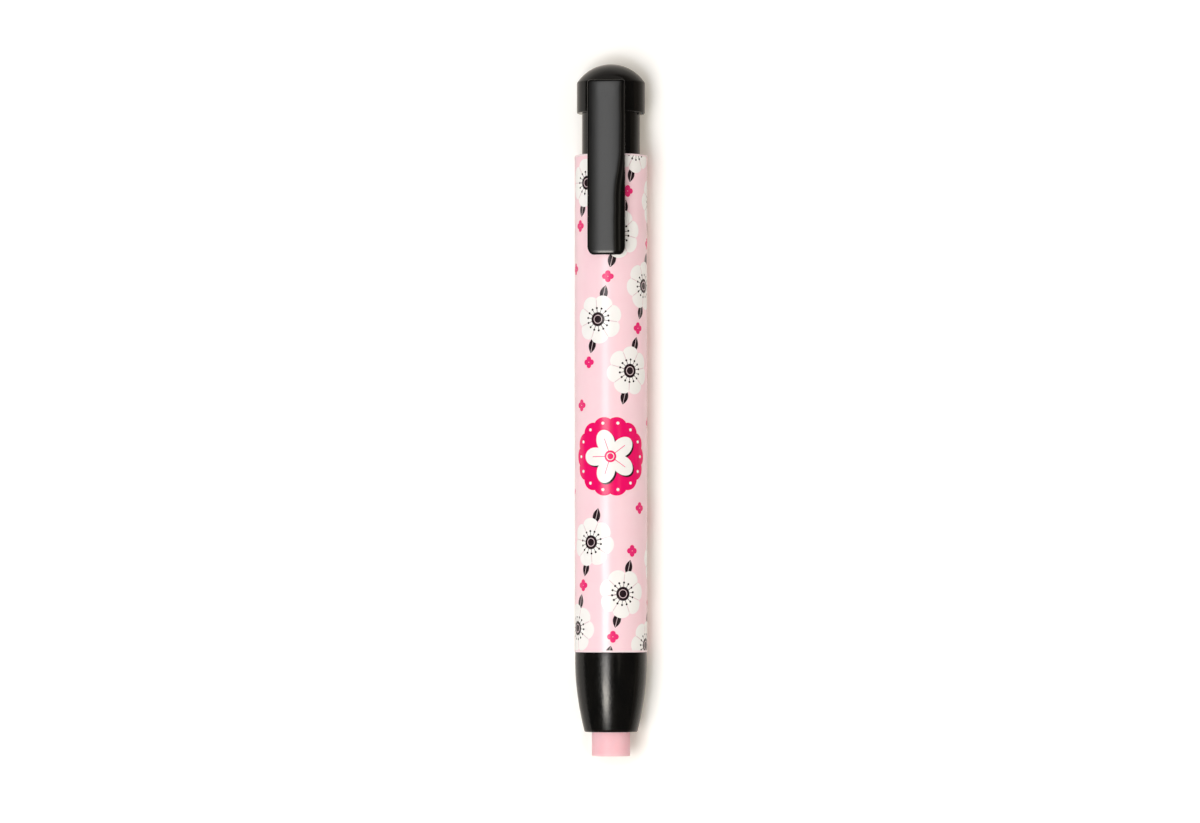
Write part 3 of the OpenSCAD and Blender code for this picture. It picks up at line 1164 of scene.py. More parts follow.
@dataclass(frozen=True)
class PrintedFilm(Finish):
    """Glossy film printed with white flowers, small pink blossoms and two large rosettes.

    The flowers stand on a lattice that winds round the barrel and meets itself. Distances are
    measured on the film as if it lay flat: along the pen, and round it from the top.

    Attributes:
        inks: Colours of the print.
        flower: The flowers.
        leaf: Their leaves.
        blossom: The small blossoms in the lattice's gaps, and round a rosette in place of the
            flowers.
        rosette: The rosettes.
        rosette_at: Station of the upper rosette and its distance round the barrel from the
            top, in mm.
        rosette_steps: Flowers up the winding from there to the rosette on the other side.
        rise: Distance along the pen from one flower to the next up the winding, in mm.
        twist: Share of a turn from one flower to the next.
        strides: Flowers up the winding to the neighbours in the lattice's two directions.
        spins: Angles that a step in each of the two directions turns a flower by.
        clear: Distance from a rosette's middle that no flower stands within, in mm.
        margin: Distance from a rosette's edge that no blossom stands within, in mm.
        clouds: Clouds per mm in the ground, and how much white they bring.
        ink_depth: Depth under the outer face that the film is printed to, in mm.
        roughness: Lowest and highest roughness.
        ripple: Depth of the ripples, in mm, ripples per mm round the pen, and along it for
            one round it.
        grain: Depth of the fine grain, in mm.
        refraction: Index of refraction.
    """

    inks: Inks = Inks()
    flower: Flower = Flower()
    leaf: Leaf = Leaf()
    blossom: Blossom = Blossom()
    rosette: Rosette = Rosette()
    rosette_at: Point = (54.0, 0.6)
    rosette_steps: int = -9
    rise: float = 3.05
    twist: float = 0.382
    strides: tuple[int, int] = (3, 2)
    spins: Point = (2.399, 1.13)
    clear: float = 12.6
    margin: float = 1.7
    clouds: Point = (0.35, 0.06)
    ink_depth: float = 0.05
    roughness: Point = (0.13, 0.2)
    ripple: Triple = (0.004, 0.7, 0.3)
    grain: float = 0.0005
    refraction: float = 1.46

    @property
    def girth(self) -> float:
        """Distance once round the film, in mm."""
        return 2 * math.pi * BARREL_RADIUS

    def lay(self, bench: NodeBench, shader: bpy.types.Node) -> None:
        """Builds the film's nodes; see Finish.lay."""
        along, side, height = bench.place()
        up = height - AXIS_HEIGHT
        station, from_top = self.rosette_at
        flat_x = along - (station - MIDDLE_STATION)
        flat_s = side.angle_over(up) * BARREL_RADIUS - from_top
        colour = self.pattern(bench, Spot(flat_x, flat_s))
        inside = side.hypotenuse(up).below(BARREL_RADIUS - self.ink_depth)
        depth, scale, stretch = self.ripple
        ripple = bench.noise(bench.vector(along * stretch, side, height), scale)
        where = bench.vector(along, side, height)
        fine = bench.noise(where, scale=5.0, detail=3.0, rough=0.6)
        bench.fill(shader, {
            "Base Color": bench.mix(inside, colour, self.inks.white),
            "Roughness": fine.blend(ripple, share=0.5).spread(*NOISE_CORE, *self.roughness),
            "Normal": bench.relief((ripple, depth), (fine, self.grain)),
            "IOR": self.refraction,
        })

    def pattern(self, bench: NodeBench, place: Spot) -> Socket:
        """Draws the whole print.

        Args:
            bench: Where the nodes are made.
            place: Place from the middle of the upper rosette.

        Returns:
            The print's colour.
        """
        turn = self.twist * self.girth
        first, second = ((n * self.rise, n * turn - self.girth) for n in self.strides)
        area = first[0] * second[1] - second[0] * first[1]
        row = (place.x * second[1] - place.s * second[0]) / area
        column = (place.s * first[0] - place.x * first[1]) / area

        def from_node(i: Signal, j: Signal) -> Spot:
            """Gives the place from a node of the lattice."""
            x, s = (at - i * a - j * b for at, a, b in zip((place.x, place.s), first, second))
            return Spot(x, s)

        flower = from_node(row.whole(), column.whole())
        gap = from_node(row.floor() + 0.5, column.floor() + 0.5)
        rosette = self.nearest_rosette(place)
        to_flower = rosette.away(flower)
        spin = row.whole() * self.spins[0] + column.whole() * self.spins[1]
        shown = to_flower.above(self.clear)
        heading = math.atan2(first[1] + second[1], first[0] + second[0])

        scale, most = self.clouds
        tone = bench.noise(bench.vector(place.x, place.s), scale)
        share = tone.spread(*NOISE_WHOLE, 0.0, most)
        canvas = Canvas(bench, bench.mix(share, self.inks.ground, self.inks.white))
        self.leaf.draw(canvas, flower, heading, shown, self.inks)
        self.flower.draw(canvas, flower, spin, shown, self.inks)
        too_near = rosette.away(gap).below(self.rosette.radius + self.margin)
        at_middle = to_flower.below(1.0)
        in_gap = self.blossom.edge(gap) + too_near * OUT_OF_SIGHT
        at_node = self.blossom.edge(flower) + (shown + at_middle) * OUT_OF_SIGHT
        canvas.paint(in_gap.smaller(at_node).drawn(), self.inks.accent)
        self.rosette.draw(canvas, rosette, self.inks)
        return canvas.colour

    def nearest_rosette(self, place: Spot) -> Spot:
        """Finds the nearer of the two rosettes, which stand on opposite sides of the pen.

        Args:
            place: Place from the middle of the upper rosette.

        Returns:
            Place from the middle of the nearer one.
        """
        ahead = self.rosette_steps * self.rise
        around = self.rosette_steps * self.twist * self.girth
        near = Spot(place.x, place.s.wrapped(self.girth))
        far = Spot(place.x - ahead, (place.s - around).wrapped(self.girth))
        take_far = far.radius.below(near.radius)
        return Spot(near.x + take_far * (far.x - near.x), near.s + take_far * (far.s - near.s))


BLACK = {"slot": Slot.BLACK_PLASTIC, "colour": srgb(8, 8, 8), "tint": srgb(12, 11, 10)}


class Finishes:
    """The finishes of this eraser stick."""

    black = MouldedPlastic(
        "gloss_black_plastic", **BLACK, roughness=(0.09, 0.15), grain=0.0003, refraction=1.38
    )
    grained = MouldedPlastic(
        "grained_black_plastic",
        **BLACK,
        roughness=(0.08, 0.25),
        grain=0.02,
        grain_scale=2.8,
        refraction=1.38,
    )
    pale = MouldedPlastic(
        "pale_pink_plastic",
        Slot.BARREL_PLASTIC,
        colour=srgb(253, 232, 236),
        tint=srgb(251, 226, 231),
        roughness=(0.18, 0.28),
    )
    milky = MouldedPlastic(
        "milky_moulding",
        Slot.MILKY_PLASTIC,
        colour=srgb(238, 238, 230),
        tint=srgb(228, 228, 218),
        roughness=(0.35, 0.5),
    )
    rubber = MouldedPlastic(
        "dark_rubber",
        Slot.RETAINER_RUBBER,
        colour=srgb(78, 78, 82),
        tint=srgb(66, 66, 70),
        roughness=(0.6, 0.8),
        grain=0.004,
    )
    brass = TurnedMetal(
        "turned_brass",
        Slot.BRASS,
        colour=srgb(226, 196, 120),
        dull=srgb(190, 152, 84),
        marks=14.0,
        roughness=(0.2, 0.4),
    )
    steel = TurnedMetal(
        "drawn_wire",
        Slot.SPRING_STEEL,
        colour=srgb(208, 210, 214),
        dull=srgb(168, 170, 176),
        marks=9.0,
        roughness=(0.22, 0.38),
    )
    vinyl = EraserVinyl(
        "soft_pink_vinyl",
        Slot.ERASER_VINYL,
        colour=srgb(248, 192, 200),
        dusty=srgb(251, 205, 211),
        worn=srgb(252, 208, 213),
        tip=ERASER_TIP,
        radius=ERASER_RADIUS,
    )
    film = PrintedFilm("printed_film", Slot.PRINT_FILM)


def hand_in(piece: bpy.types.Object, finish: Finish, body: Body, *nodes: str) -> None:
    """Dresses a new piece and puts it in the place of the CAD nodes that it stands for.

    Args:
        piece: The finished mesh object.
        finish: Its finish.
        body: The body that it moves with.
        *nodes: CAD nodes that it replaces.
    """
    piece.data.materials.clear()
    piece.data.materials.append(finish.material())
    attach(piece, body.value)
    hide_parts(*nodes)
    log.info("%s: %d faces, rides on %s", piece.name, len(piece.data.polygons), body.value)


def dress_node(node: str, finish: Finish) -> None:
    """Gives a CAD node that stays in the model its finish.

    Args:
        node: Name of the node.
        finish: Its finish.
    """
    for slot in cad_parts[node].material_slots:
        slot.material = finish.material()
    log.info("%s keeps its CAD shape, in %s", node, finish.name)


# Pieces


@dataclass
class Barrel:
    """Barrel tube and the printed film that lies flush in it.

    Attributes:
        length: Length of the barrel.
        bore: Radius of the bore that guides the button.
        front_bore: Radius of the wider bore that takes the nose cone.
        front_bore_at: Station where the wider bore begins.
        film: Thickness of the film.
        band: Length of plain barrel at each end of the film.
        groove_at: Station of the groove for the nose cone's snap bead.
        groove: Depth of that groove.
        groove_half: Half the length of the groove at its bottom and at its top.
        key: Width of the keyway, and its depth from the axis and its length.
        gap: Gap between the film's ends and the barrel.
        film_edge: Chamfer of the film's ends.
        film_rings: Rings that the film is cut into.
    """

    length: float = 88.8
    bore: float = 5.25
    front_bore: float = 5.5
    front_bore_at: float = 76.9
    film: float = 0.1
    band: float = 0.35
    groove_at: float = 86.0
    groove: float = 0.14
    groove_half: Point = (0.05, 0.4)
    key: Triple = (1.35, 5.775, 11.5)
    gap: float = 0.005
    film_edge: float = 0.02
    film_rings: int = 60

    def build(self) -> None:
        """Models both pieces and dresses them."""
        hand_in(self.tube(), Finishes.pale, Body.BARREL, "barrel")
        hand_in(self.sleeve(), Finishes.film, Body.BARREL, "print_sleeve")

    def tube(self) -> bpy.types.Object:
        """Turns the barrel tube and cuts its keyway.

        Returns:
            The tube.
        """
        under = BARREL_RADIUS - self.film
        floor, half = self.groove_half
        piece = Lathe.turn("barrel_tube", [
            (0.0, self.bore, 0.15),
            (0.0, BARREL_RADIUS, 0.17),
            (self.band, BARREL_RADIUS, 0.02),
            (self.band, under, 0.0),
            (self.length - self.band, under, 0.0),
            (self.length - self.band, BARREL_RADIUS, 0.02),
            (self.length, BARREL_RADIUS, 0.06),
            (self.length, self.front_bore, 0.0),
            (self.groove_at + half, self.front_bore, 0.0),
            (self.groove_at + floor, self.front_bore + self.groove, 0.1),
            (self.groove_at - floor, self.front_bore + self.groove, 0.1),
            (self.groove_at - half, self.front_bore, 0.0),
            (self.front_bore_at, self.front_bore, 0.0),
            (self.front_bore_at, self.bore, 0.0),
        ])
        width, depth, end = self.key
        before = -1.0
        keyway = Workshop.block("keyway", (before, -width / 2, 0.0), (end, width / 2, depth))
        Workshop.combine(piece, keyway, Join.CUT)
        Workshop.close_up(piece)
        return piece

    def sleeve(self) -> bpy.types.Object:
        """Turns the printed film.

        Returns:
            The film.
        """
        back, front = self.band + self.gap, self.length - self.band - self.gap
        start, count = back + self.film_edge, self.film_rings
        long = front - back - 2 * self.film_edge
        outside = [(start + long * step / count, BARREL_RADIUS, 0.0) for step in range(count + 1)]
        under, edge = BARREL_RADIUS - self.film, BARREL_RADIUS - self.film_edge
        return Lathe.turn("print_film", [
            (back, under, 0.0),
            (back, edge, 0.0),
            *outside,
            (front, edge, 0.0),
            (front, under, 0.0),
        ])


@dataclass
class FrontEnd:
    """Nose cone, and the bush and the retainer that it holds in.

    Attributes:
        back: Station where the nose cone begins to show, at the end of the barrel.
        plug_back: Station of the rear end of its plug.
        tip: Station of its tip.
        top: Radius where it meets the barrel.
        mouth: Radius of the tip.
        land: Length of the straight part behind the curve.
        plug: Radius of the plug.
        bead_at: Station of the snap bead.
        bead: Height of the snap bead.
        bead_half: Half its length.
        chamber: Radius of the chamber for the clutch ring.
        head_room: Radius of the chamber for the collet's head.
        seat: Radius of the retainer's seat.
        bore: Radius of the hole for the eraser.
        stops: Stations of the ring's stop, the end of the head's chamber and of the retainer.
        rim: Radius of the rounding at the tip.
        chamfer: Chamfer at the hole's mouth.
        slope: Length of the slope at the end of the head's chamber.
        curve_steps: Pieces that the outer curve and the tip's rounding are cut into.
    """

    back: float = 88.8
    plug_back: float = 83.4
    tip: float = 103.0
    top: float = 6.42
    mouth: float = 4.7
    land: float = 1.0
    plug: float = 5.45
    bead_at: float = 86.0
    bead: float = 0.14
    bead_half: float = 0.35
    chamber: float = 4.75
    head_room: float = 4.5
    seat: float = 4.3
    bore: float = 3.5
    stops: Triple = (88.5, 95.4, 98.4)
    rim: float = 0.15
    chamfer: float = 0.3
    slope: float = 0.15
    curve_steps: tuple[int, int] = (40, 7)

    def build(self) -> None:
        """Models the nose cone and dresses what is inside it."""
        hand_in(self.cone(), Finishes.grained, Body.BARREL, "nose_cone")
        dress_node("retainer", Finishes.rubber)
        dress_node("seat_bush", Finishes.milky)

    def cone(self) -> bpy.types.Object:
        """Turns the nose cone.

        Returns:
            The nose cone.
        """
        drop = self.top - self.mouth
        run = self.tip - self.back - self.land
        bend = (run * run + drop * drop) / (2 * drop)
        sweep = math.degrees(math.asin(run / bend)) * (1 - self.rim / run)
        steps, rim_steps = self.curve_steps
        centre = (self.back + self.land, self.top - bend)
        outside = Lathe.arc(centre, bend, start=90, end=90 - sweep, steps=steps)
        centre = (self.tip - self.rim, self.mouth - self.rim)
        rim = Lathe.arc(centre, self.rim, start=70, end=0, steps=rim_steps)
        stop, chamber_end, seat_end = self.stops
        return Lathe.turn("nose_shell", [
            (self.plug_back, self.chamber, 0.0),
            (self.plug_back, self.plug, 0.15),
            (self.bead_at - self.bead_half, self.plug, 0.05),
            (self.bead_at, self.plug + self.bead, 0.15),
            (self.bead_at + self.bead_half, self.plug, 0.05),
            (self.back, self.plug, 0.0),
            (self.back, self.top, 0.08),
            *outside,
            *rim,
            (self.tip, self.bore + self.chamfer, 0.04),
            (self.tip - self.chamfer, self.bore, 0.12),
            (seat_end, self.bore, 0.05),
            (seat_end, self.seat, 0.0),
            (chamber_end, self.seat, 0.0),
            (chamber_end - self.slope, self.head_room, 0.0),
            (stop, self.head_room, 0.05),
            (stop, self.chamber, 0.0),
        ])


@dataclass
class PushButton:
    """The part that is pressed: plunger, collar and domed cap, and what they carry inside.

    Attributes:
        neck: Radius of the plunger.
        cap_bore: Radius of its bore at the rear, which takes the cap.
        front: Station of its front end.
        web: Stations of the web that the feed tube stands in.
        web_bore: Radius of the hole in the web.
        web_slope: Length of the slope behind the web.
        feed: Radius of the feed tube.
        collar: Radius of the collar.
        collar_at: Stations of the collar's two ends.
        dome: Height of the dome.
        dome_steps: Pieces that the dome's curve is cut into.
        dome_inset: How much narrower than the collar the dome is.
        cap_plug: Length of the cap's plug, its wall, and the thickness of the roof over it.
        key: Width and height of the rib that runs in the barrel's keyway, and its front end.
        rib_root: How deep the rib reaches into the plunger.
        clip_foot: Width, low and high side of the clip's foot.
        foot_at: Stations of the foot's two ends.
        shank: Width of the clip's shank.
        slot_gap: Gap between the foot or the shank and the collar's slot.
        stub: Lowest and highest corner of the gate's stub, from the middle of the collar's
            front edge.
    """

    neck: float = 5.175
    cap_bore: float = 4.4
    front: float = 22.0
    web: Point = (10.0, 12.0)
    web_bore: float = 3.7
    web_slope: float = 0.6
    feed: float = 4.15
    collar: float = 6.1
    collar_at: Point = (-13.1, -7.6)
    dome: float = 3.3
    dome_steps: int = 44
    dome_inset: float = 0.03
    cap_plug: Triple = (4.0, 1.0, 0.5)
    key: Triple = (1.2, 0.45, 5.0)
    rib_root: float = 0.3
    clip_foot: Triple = (4.2, 5.3, 5.62)
    foot_at: Point = (-12.3, -10.3)
    shank: float = 2.6
    slot_gap: float = 0.12
    stub: tuple[Triple, Triple] = ((-0.3, 5.45, -0.1), (0.26, 5.93, 0.75))

    def build(self) -> None:
        """Models the three outer pieces and dresses the two inner ones."""
        hand_in(self.plunger(), Finishes.black, Body.BUTTON, "plunger")
        hand_in(self.ring(), Finishes.black, Body.BUTTON, "head_collar")
        hand_in(self.cap(), Finishes.black, Body.BUTTON, "end_cap")
        dress_node("feed_tube", Finishes.milky)
        dress_node("collet", Finishes.milky)

    def plunger(self) -> bpy.types.Object:
        """Turns the plunger and adds its rib.

        Returns:
            The plunger.
        """
        back = self.collar_at[0]
        piece = Lathe.turn("button_plunger", [
            (back, self.cap_bore, 0.0),
            (back, self.neck, 0.0),
            (self.front, self.neck, 0.3),
            (self.front, self.feed, 0.1),
            (self.web[1], self.feed, 0.0),
            (self.web[1], self.web_bore, 0.0),
            (self.web[0], self.web_bore, 0.1),
            (self.web[0] - self.web_slope, self.cap_bore, 0.1),
        ])
        width, height, end = self.key
        low = (self.collar_at[1], -width / 2, self.neck - self.rib_root)
        high = (end, width / 2, self.neck + height)
        Workshop.combine(piece, Workshop.block("rib", low, high, edge=0.08), Join.ADD)
        Workshop.close_up(piece)
        return piece

    def ring(self) -> bpy.types.Object:
        """Turns the collar, cuts the slot for the clip's foot and leaves the gate's stub.

        Returns:
            The collar.
        """
        back, front = self.collar_at
        piece = Lathe.turn("button_collar", [
            (back, self.neck, 0.0),
            (back, self.collar, 0.1),
            (front, self.collar, 0.16),
            (front, self.neck, 0.0),
        ])
        gap, through = self.slot_gap, 1.0
        wide, high = self.clip_foot[0] / 2 + gap, self.clip_foot[2] + gap
        narrow, end = self.shank / 2 + gap, self.foot_at[1] + gap
        for half, top in ((wide, high), (narrow, self.collar + through)):
            slot = Workshop.block("slot", (back - through, -half, 0.0), (end, half, top))
            Workshop.combine(piece, slot, Join.CUT)
        low, high = ((front + along, across, up) for along, across, up in self.stub)
        Workshop.combine(piece, Workshop.block("stub", low, high, edge=0.07), Join.ADD)
        Workshop.close_up(piece)
        return piece

    def cap(self) -> bpy.types.Object:
        """Turns the domed cap with its hollow plug.

        Returns:
            The cap.
        """
        foot = self.collar - self.dome_inset
        bend = (foot * foot + self.dome * self.dome) / (2 * self.dome)
        sweep = math.degrees(math.asin(foot / bend))
        back = self.collar_at[0]
        centre = (back - self.dome + bend, 0.0)
        shell = Lathe.arc(centre, bend, start=180, end=180 - sweep, steps=self.dome_steps)
        edge, last = shell[-1], shell[-2]
        share, proud, brim = 0.3, 0.006, 0.05
        brow = [a * share + b * (1 - share) for a, b in zip(last[:2], edge[:2])]
        plug, wall, roof = self.cap_plug
        inner = self.cap_bore - wall
        return Lathe.turn("button_dome", [
            (shell[0][0], 0.0, 0.0),
            *shell[1:-1],
            (brow[0], brow[1] + proud, 0.05),
            (back, foot - brim, 0.04),
            (back, self.cap_bore, 0.0),
            (back + plug, self.cap_bore, 0.3),
            (back + plug, inner, 0.1),
            (back + roof, inner, 0.0),
            (back + roof, 0.0, 0.0),
        ], smooth_below=30.0)


@dataclass
class PocketClip:
    """Pocket clip: a crowned blade on a narrow shank with a wider foot, and a contact pad.

    Attributes:
        width: Width of the blade.
        ends: Stations of its two ends.
        face: Height of its face above the axis, at the middle.
        underside: Stations and heights above the axis of its underside, from the root.
        crest: Distances from the blade's middle, towards +Y, that its flat top lies between.
        crown: Radius of the crowned face on the -Y side and on the +Y side of the top.
        shoulder: Distance across at which the +Y side turns down more, at the root and at
            the free end.
        shoulder_turn: Stations that it changes over from one to the other between.
        shoulder_round: Radius that it turns down by there.
        shoulder_width: Distance over which it does; past that it goes on straight.
        waver: How far the moulding's shrinkage makes the shoulder waver.
        waves: Share of that, radians per mm and phase of each of its two waves.
        sink: Station of the sink mark over the foot, its reach and its depth.
        root_fall: Distance over which the face bends down at the root, and how far down.
        end_fall: The same at the free end.
        root_corner: Corner radius of the outline at the root.
        end_corner: Corner radius at the free end, across and along.
        lip: Radius along the blade's upper edge.
        lip_steps: Rings across that radius.
        low_edge: Height of the outline's first ring, as a share of the blade's thickness.
        top_insets: Distances in from the outline of the rings of the face.
        low_insets: The same of the rings of the underside.
        divisions: Points round a corner, and pieces of an end and of a side of the outline.
        buried: Heights above the axis that the shank and the pad reach into the blade.
        pad_at: Station of the contact pad.
        pad_low: Height of the pad's face above the axis.
        pad_half: Half the length of that face.
        pad_slope: Length of the slope on either side of it.
        pad_inset: How much narrower than the blade it is on each side.
        pad_taper: Share of its width that it keeps at its face.
        pad_edge: Bevel along the edges of that face.
    """

    width: float = 6.7
    ends: Point = (-12.95, 18.2)
    face: float = 8.5
    underside: tuple[Point, ...] = (
        (-12.95, 6.4),
        (-9.7, 6.4),
        (-7.6, 6.7),
        (13.25, 7.2),
        (18.2, 7.2),
    )
    crest: Point = (0.5, 1.0)
    crown: Point = (17.0, 22.0)
    shoulder: Point = (2.35, 1.12)
    shoulder_turn: Point = (-1.5, 8.5)
    shoulder_round: float = 4.5
    shoulder_width: float = 1.7
    waver: float = 0.03
    waves: tuple[Triple, Triple] = ((1.0, 0.83, 0.0), (0.6, 1.9, 1.0))
    sink: Triple = (-10.9, 1.7, 0.022)
    root_fall: Point = (0.9, 0.03)
    end_fall: Point = (0.8, 0.2)
    root_corner: Point = (0.45, 0.45)
    end_corner: Point = (1.1, 1.65)
    lip: float = 0.13
    lip_steps: int = 6
    low_edge: float = 0.1
    top_insets: tuple[float, ...] = (
        0.3, 0.4, 0.52, 0.66, 0.85, 1.1, 1.4, 1.75, 2.15, 2.6, 3.0, 3.35
    )
    low_insets: tuple[float, ...] = (0.4, 0.8, 1.4, 2.1, 2.8, 3.35)
    divisions: tuple[int, int, int] = (12, 14, 48)
    buried: Point = (6.7, 7.35)
    pad_at: float = 15.05
    pad_low: float = 6.62
    pad_half: float = 0.4
    pad_slope: float = 1.4
    pad_inset: float = 0.15
    pad_taper: float = 0.94
    pad_edge: float = 0.1

    @property
    def centre(self) -> float:
        """Station of the blade's middle."""
        return sum(self.ends) / 2

    def build(self) -> None:
        """Models the clip and dresses it."""
        piece = self.blade()
        for tool in self.underparts():
            Workshop.combine(piece, tool, Join.ADD)
        Workshop.close_up(piece)
        hand_in(piece, Finishes.black, Body.CLIP, "pocket_clip")

    def outline(self) -> list[Point]:
        """Lists the points of the blade's outline, seen from above.

        Returns:
            Distance from the blade's middle along the pen, and across it, in mm.
        """
        half_x, half_y = (self.ends[1] - self.ends[0]) / 2, self.width / 2
        across, along = self.end_corner
        root_across, root_along = self.root_corner
        steps, end_pieces, side_pieces = self.divisions
        points: list[Point] = []

        def corner(centre: Point, stretch: Point, start: float) -> None:
            """Adds a quarter turn round a corner."""
            for step in range(steps + 1):
                angle = math.radians(start + 90 * step / steps)
                turned = zip(centre, stretch, (math.cos(angle), math.sin(angle)))
                points.append(tuple(middle + reach * part for middle, reach, part in turned))

        def side(start: Point, end: Point, pieces: int) -> None:
            """Adds the points between the ends of a straight side."""
            for step in range(1, pieces):
                share = step / pieces
                points.append(tuple(a + (b - a) * share for a, b in zip(start, end)))

        front_x, back_x = half_x - along, root_along - half_x
        front_y, back_y = half_y - across, half_y - root_across
        side((half_x, -front_y), (half_x, front_y), end_pieces)
        corner((front_x, front_y), (along, across), 0)
        side((front_x, half_y), (back_x, half_y), side_pieces)
        corner((back_x, back_y), (root_along, root_across), 90)
        side((-half_x, back_y), (-half_x, -back_y), end_pieces)
        corner((back_x, -back_y), (root_along, root_across), 180)
        side((back_x, -half_y), (front_x, -half_y), side_pieces)
        corner((front_x, -front_y), (along, across), 270)
        return points

    def blade(self) -> bpy.types.Object:
        """Models the blade: its outline is extruded in rings, then the face and underside set.

        Returns:
            The blade.
        """
        points = self.outline()
        centre = ((self.centre - MIDDLE_STATION) * MM, 0.0, 0.0)
        Workshop.put_down()
        bpy.ops.mesh.primitive_circle_add(
            vertices=len(points), radius=self.width * MM / 2, location=centre
        )
        piece = Workshop.added("clip_blade")
        for vertex, (along, across) in zip(piece.data.vertices, points):
            vertex.co = (centre[0] + along * MM, across * MM, 0.0)
        turns = [math.radians(90 * step / self.lip_steps) for step in range(self.lip_steps + 1)]
        lip = [(self.lip * (1 - math.cos(t)), 1 - self.lip * (1 - math.sin(t))) for t in turns]
        start = (0.0, self.low_edge)
        upper = [start, *lip, *((inset, 1.0) for inset in self.top_insets)]
        lower = [(self.low_edge, 0.0), *((inset, 0.0) for inset in self.low_insets)]
        with Workshop.editing(piece):
            bpy.ops.mesh.select_all(action="SELECT")
            self._rings(upper, start, centre)
            bpy.ops.mesh.select_all(action="DESELECT")
            first = bmesh.from_edit_mesh(piece.data)
            first.verts.ensure_lookup_table()
            for index in range(len(points)):
                first.verts[index].select = True
            first.select_flush_mode()
            bmesh.update_edit_mesh(piece.data)
            self._rings(lower, start, centre)
            Workshop.move(piece, self._drape)
        Workshop.close_up(piece)
        return piece

    def _rings(self, rings: Sequence[Point], before: Point, centre: Sequence[float]) -> None:
        """Extrudes the selected outline through rings.

        Args:
            rings: Inset from the outline and height, 0 at the underside and 1 at the face.
            before: Inset and height of the ring that is selected.
            centre: Middle of the blade, in metres.
        """
        half_x, half_y = (self.ends[1] - self.ends[0]) / 2, self.width / 2
        for inset, height in rings:
            bpy.ops.mesh.extrude_region()
            grow = [(half - inset) / (half - before[0]) for half in (half_x, half_y)]
            bpy.ops.transform.resize(value=(*grow, 1), center_override=centre)
            bpy.ops.transform.translate(value=(0, 0, (height - before[1]) * MM))
            before = (inset, height)

    def _drape(self, place: Vector) -> Vector:
        """Sets a point of the blade between its underside and its crowned face.

        Args:
            place: The point as extruded, in m.

        Returns:
            Where it belongs, in m.
        """
        station = place.x / MM + MIDDLE_STATION
        low = self._under(station)
        height = place.z / MM + self.low_edge
        high = self._face(station, place.y / MM)
        return Vector((place.x, place.y, (AXIS_HEIGHT + low + (high - low) * height) * MM))

    def _under(self, station: float) -> float:
        """Gives the height of the underside.

        Args:
            station: Station, in mm.

        Returns:
            Height above the axis, in mm.
        """
        for (start, low), (end, high) in zip(self.underside, self.underside[1:]):
            if station <= end:
                return low + (high - low) * max(0.0, (station - start) / (end - start))
        return self.underside[-1][1]

    def _face(self, station: float, across: float) -> float:
        """Gives the height of the crowned face.

        Args:
            station: Station, in mm.
            across: Distance from the blade's middle towards +Y, in mm.

        Returns:
            Height above the axis, in mm.
        """
        start, stop = self.shoulder_turn
        share = min(1.0, max(0.0, (station - start) / (stop - start)))
        share *= share * (3 - 2 * share)
        root, end = self.shoulder
        left, right = max(0.0, self.crest[0] - across), max(0.0, across - self.crest[1])
        drop = left * left / (2 * self.crown[0]) + right * right / (2 * self.crown[1])
        waves = (part * math.sin(station * pace + phase) for part, pace, phase in self.waves)
        wave = self.waver * sum(waves)
        past = max(0.0, across - (root + (end - root) * share + wave))
        place, sink_reach, depth = self.sink
        offsets = (station - place, across)
        drop += depth * math.prod(max(0.0, 1 - (off / sink_reach) ** 2) for off in offsets) ** 2
        bent = min(past, self.shoulder_width)
        drop += bent * (past - bent / 2) / self.shoulder_round
        from_ends = (station - self.ends[0], self.ends[1] - station)
        for reach, (run, fall) in zip(from_ends, (self.root_fall, self.end_fall)):
            drop += fall * max(0.0, 1 - reach / run) ** 2
        return self.face - drop

    def underparts(self) -> Iterator[bpy.types.Object]:
        """Models what is under the blade: shank, foot and contact pad.

        Yields:
            Each part, to be added to the blade.
        """
        head = PushButton()
        back, front = head.foot_at
        wide, low, high = head.clip_foot
        narrow, overlap = head.shank / 2, 0.1
        shank_top, pad_top = self.buried
        yield Workshop.block("shank", (back, -narrow, low + overlap), (front, narrow, shank_top))
        yield Workshop.block("foot", (back, -wide / 2, low), (front, wide / 2, high), edge=0.05)
        half, slope = self.pad_half, self.pad_slope
        side = self.width / 2 - self.pad_inset
        start, end = self.pad_at - half - slope, self.pad_at + half + slope
        pad = Workshop.block("pad", (start, -side, self.pad_low), (end, side, pad_top))
        floor = (AXIS_HEIGHT + self.pad_low) * MM
        taper = (half / (half + slope), self.pad_taper, 1)
        with Workshop.editing(pad):
            Workshop.pick(pad, lambda place: abs(place.z - floor) < Workshop.near)
            centre = ((self.pad_at - MIDDLE_STATION) * MM, 0.0, floor)
            bpy.ops.transform.resize(value=taper, center_override=centre)
            bpy.ops.mesh.bevel(offset=self.pad_edge * MM, segments=4, affect="EDGES")
        yield pad


@dataclass
class EraserStick:
    """The eraser itself.

    Attributes:
        radius: Radius of the stick.
        ends: Stations of its two ends.
        soft_edge: Rounding of the front edge.
        face_rings: Rings on its front face, as shares of the radius.
    """

    radius: float = ERASER_RADIUS
    ends: Point = (32.3, ERASER_TIP)
    soft_edge: float = 0.1
    face_rings: Triple = (0.8, 0.55, 0.3)

    def build(self) -> None:
        """Models the stick and dresses it."""
        back, front = self.ends
        face = [(front, self.radius * share, 0.0) for share in self.face_rings]
        piece = Lathe.turn("eraser_stick", [
            (back, 0.0, 0.0),
            (back, self.radius, 0.12),
            (front, self.radius, self.soft_edge),
            *face,
            (front, 0.0, 0.0),
        ])
        hand_in(piece, Finishes.vinyl, Body.ERASER, "eraser")


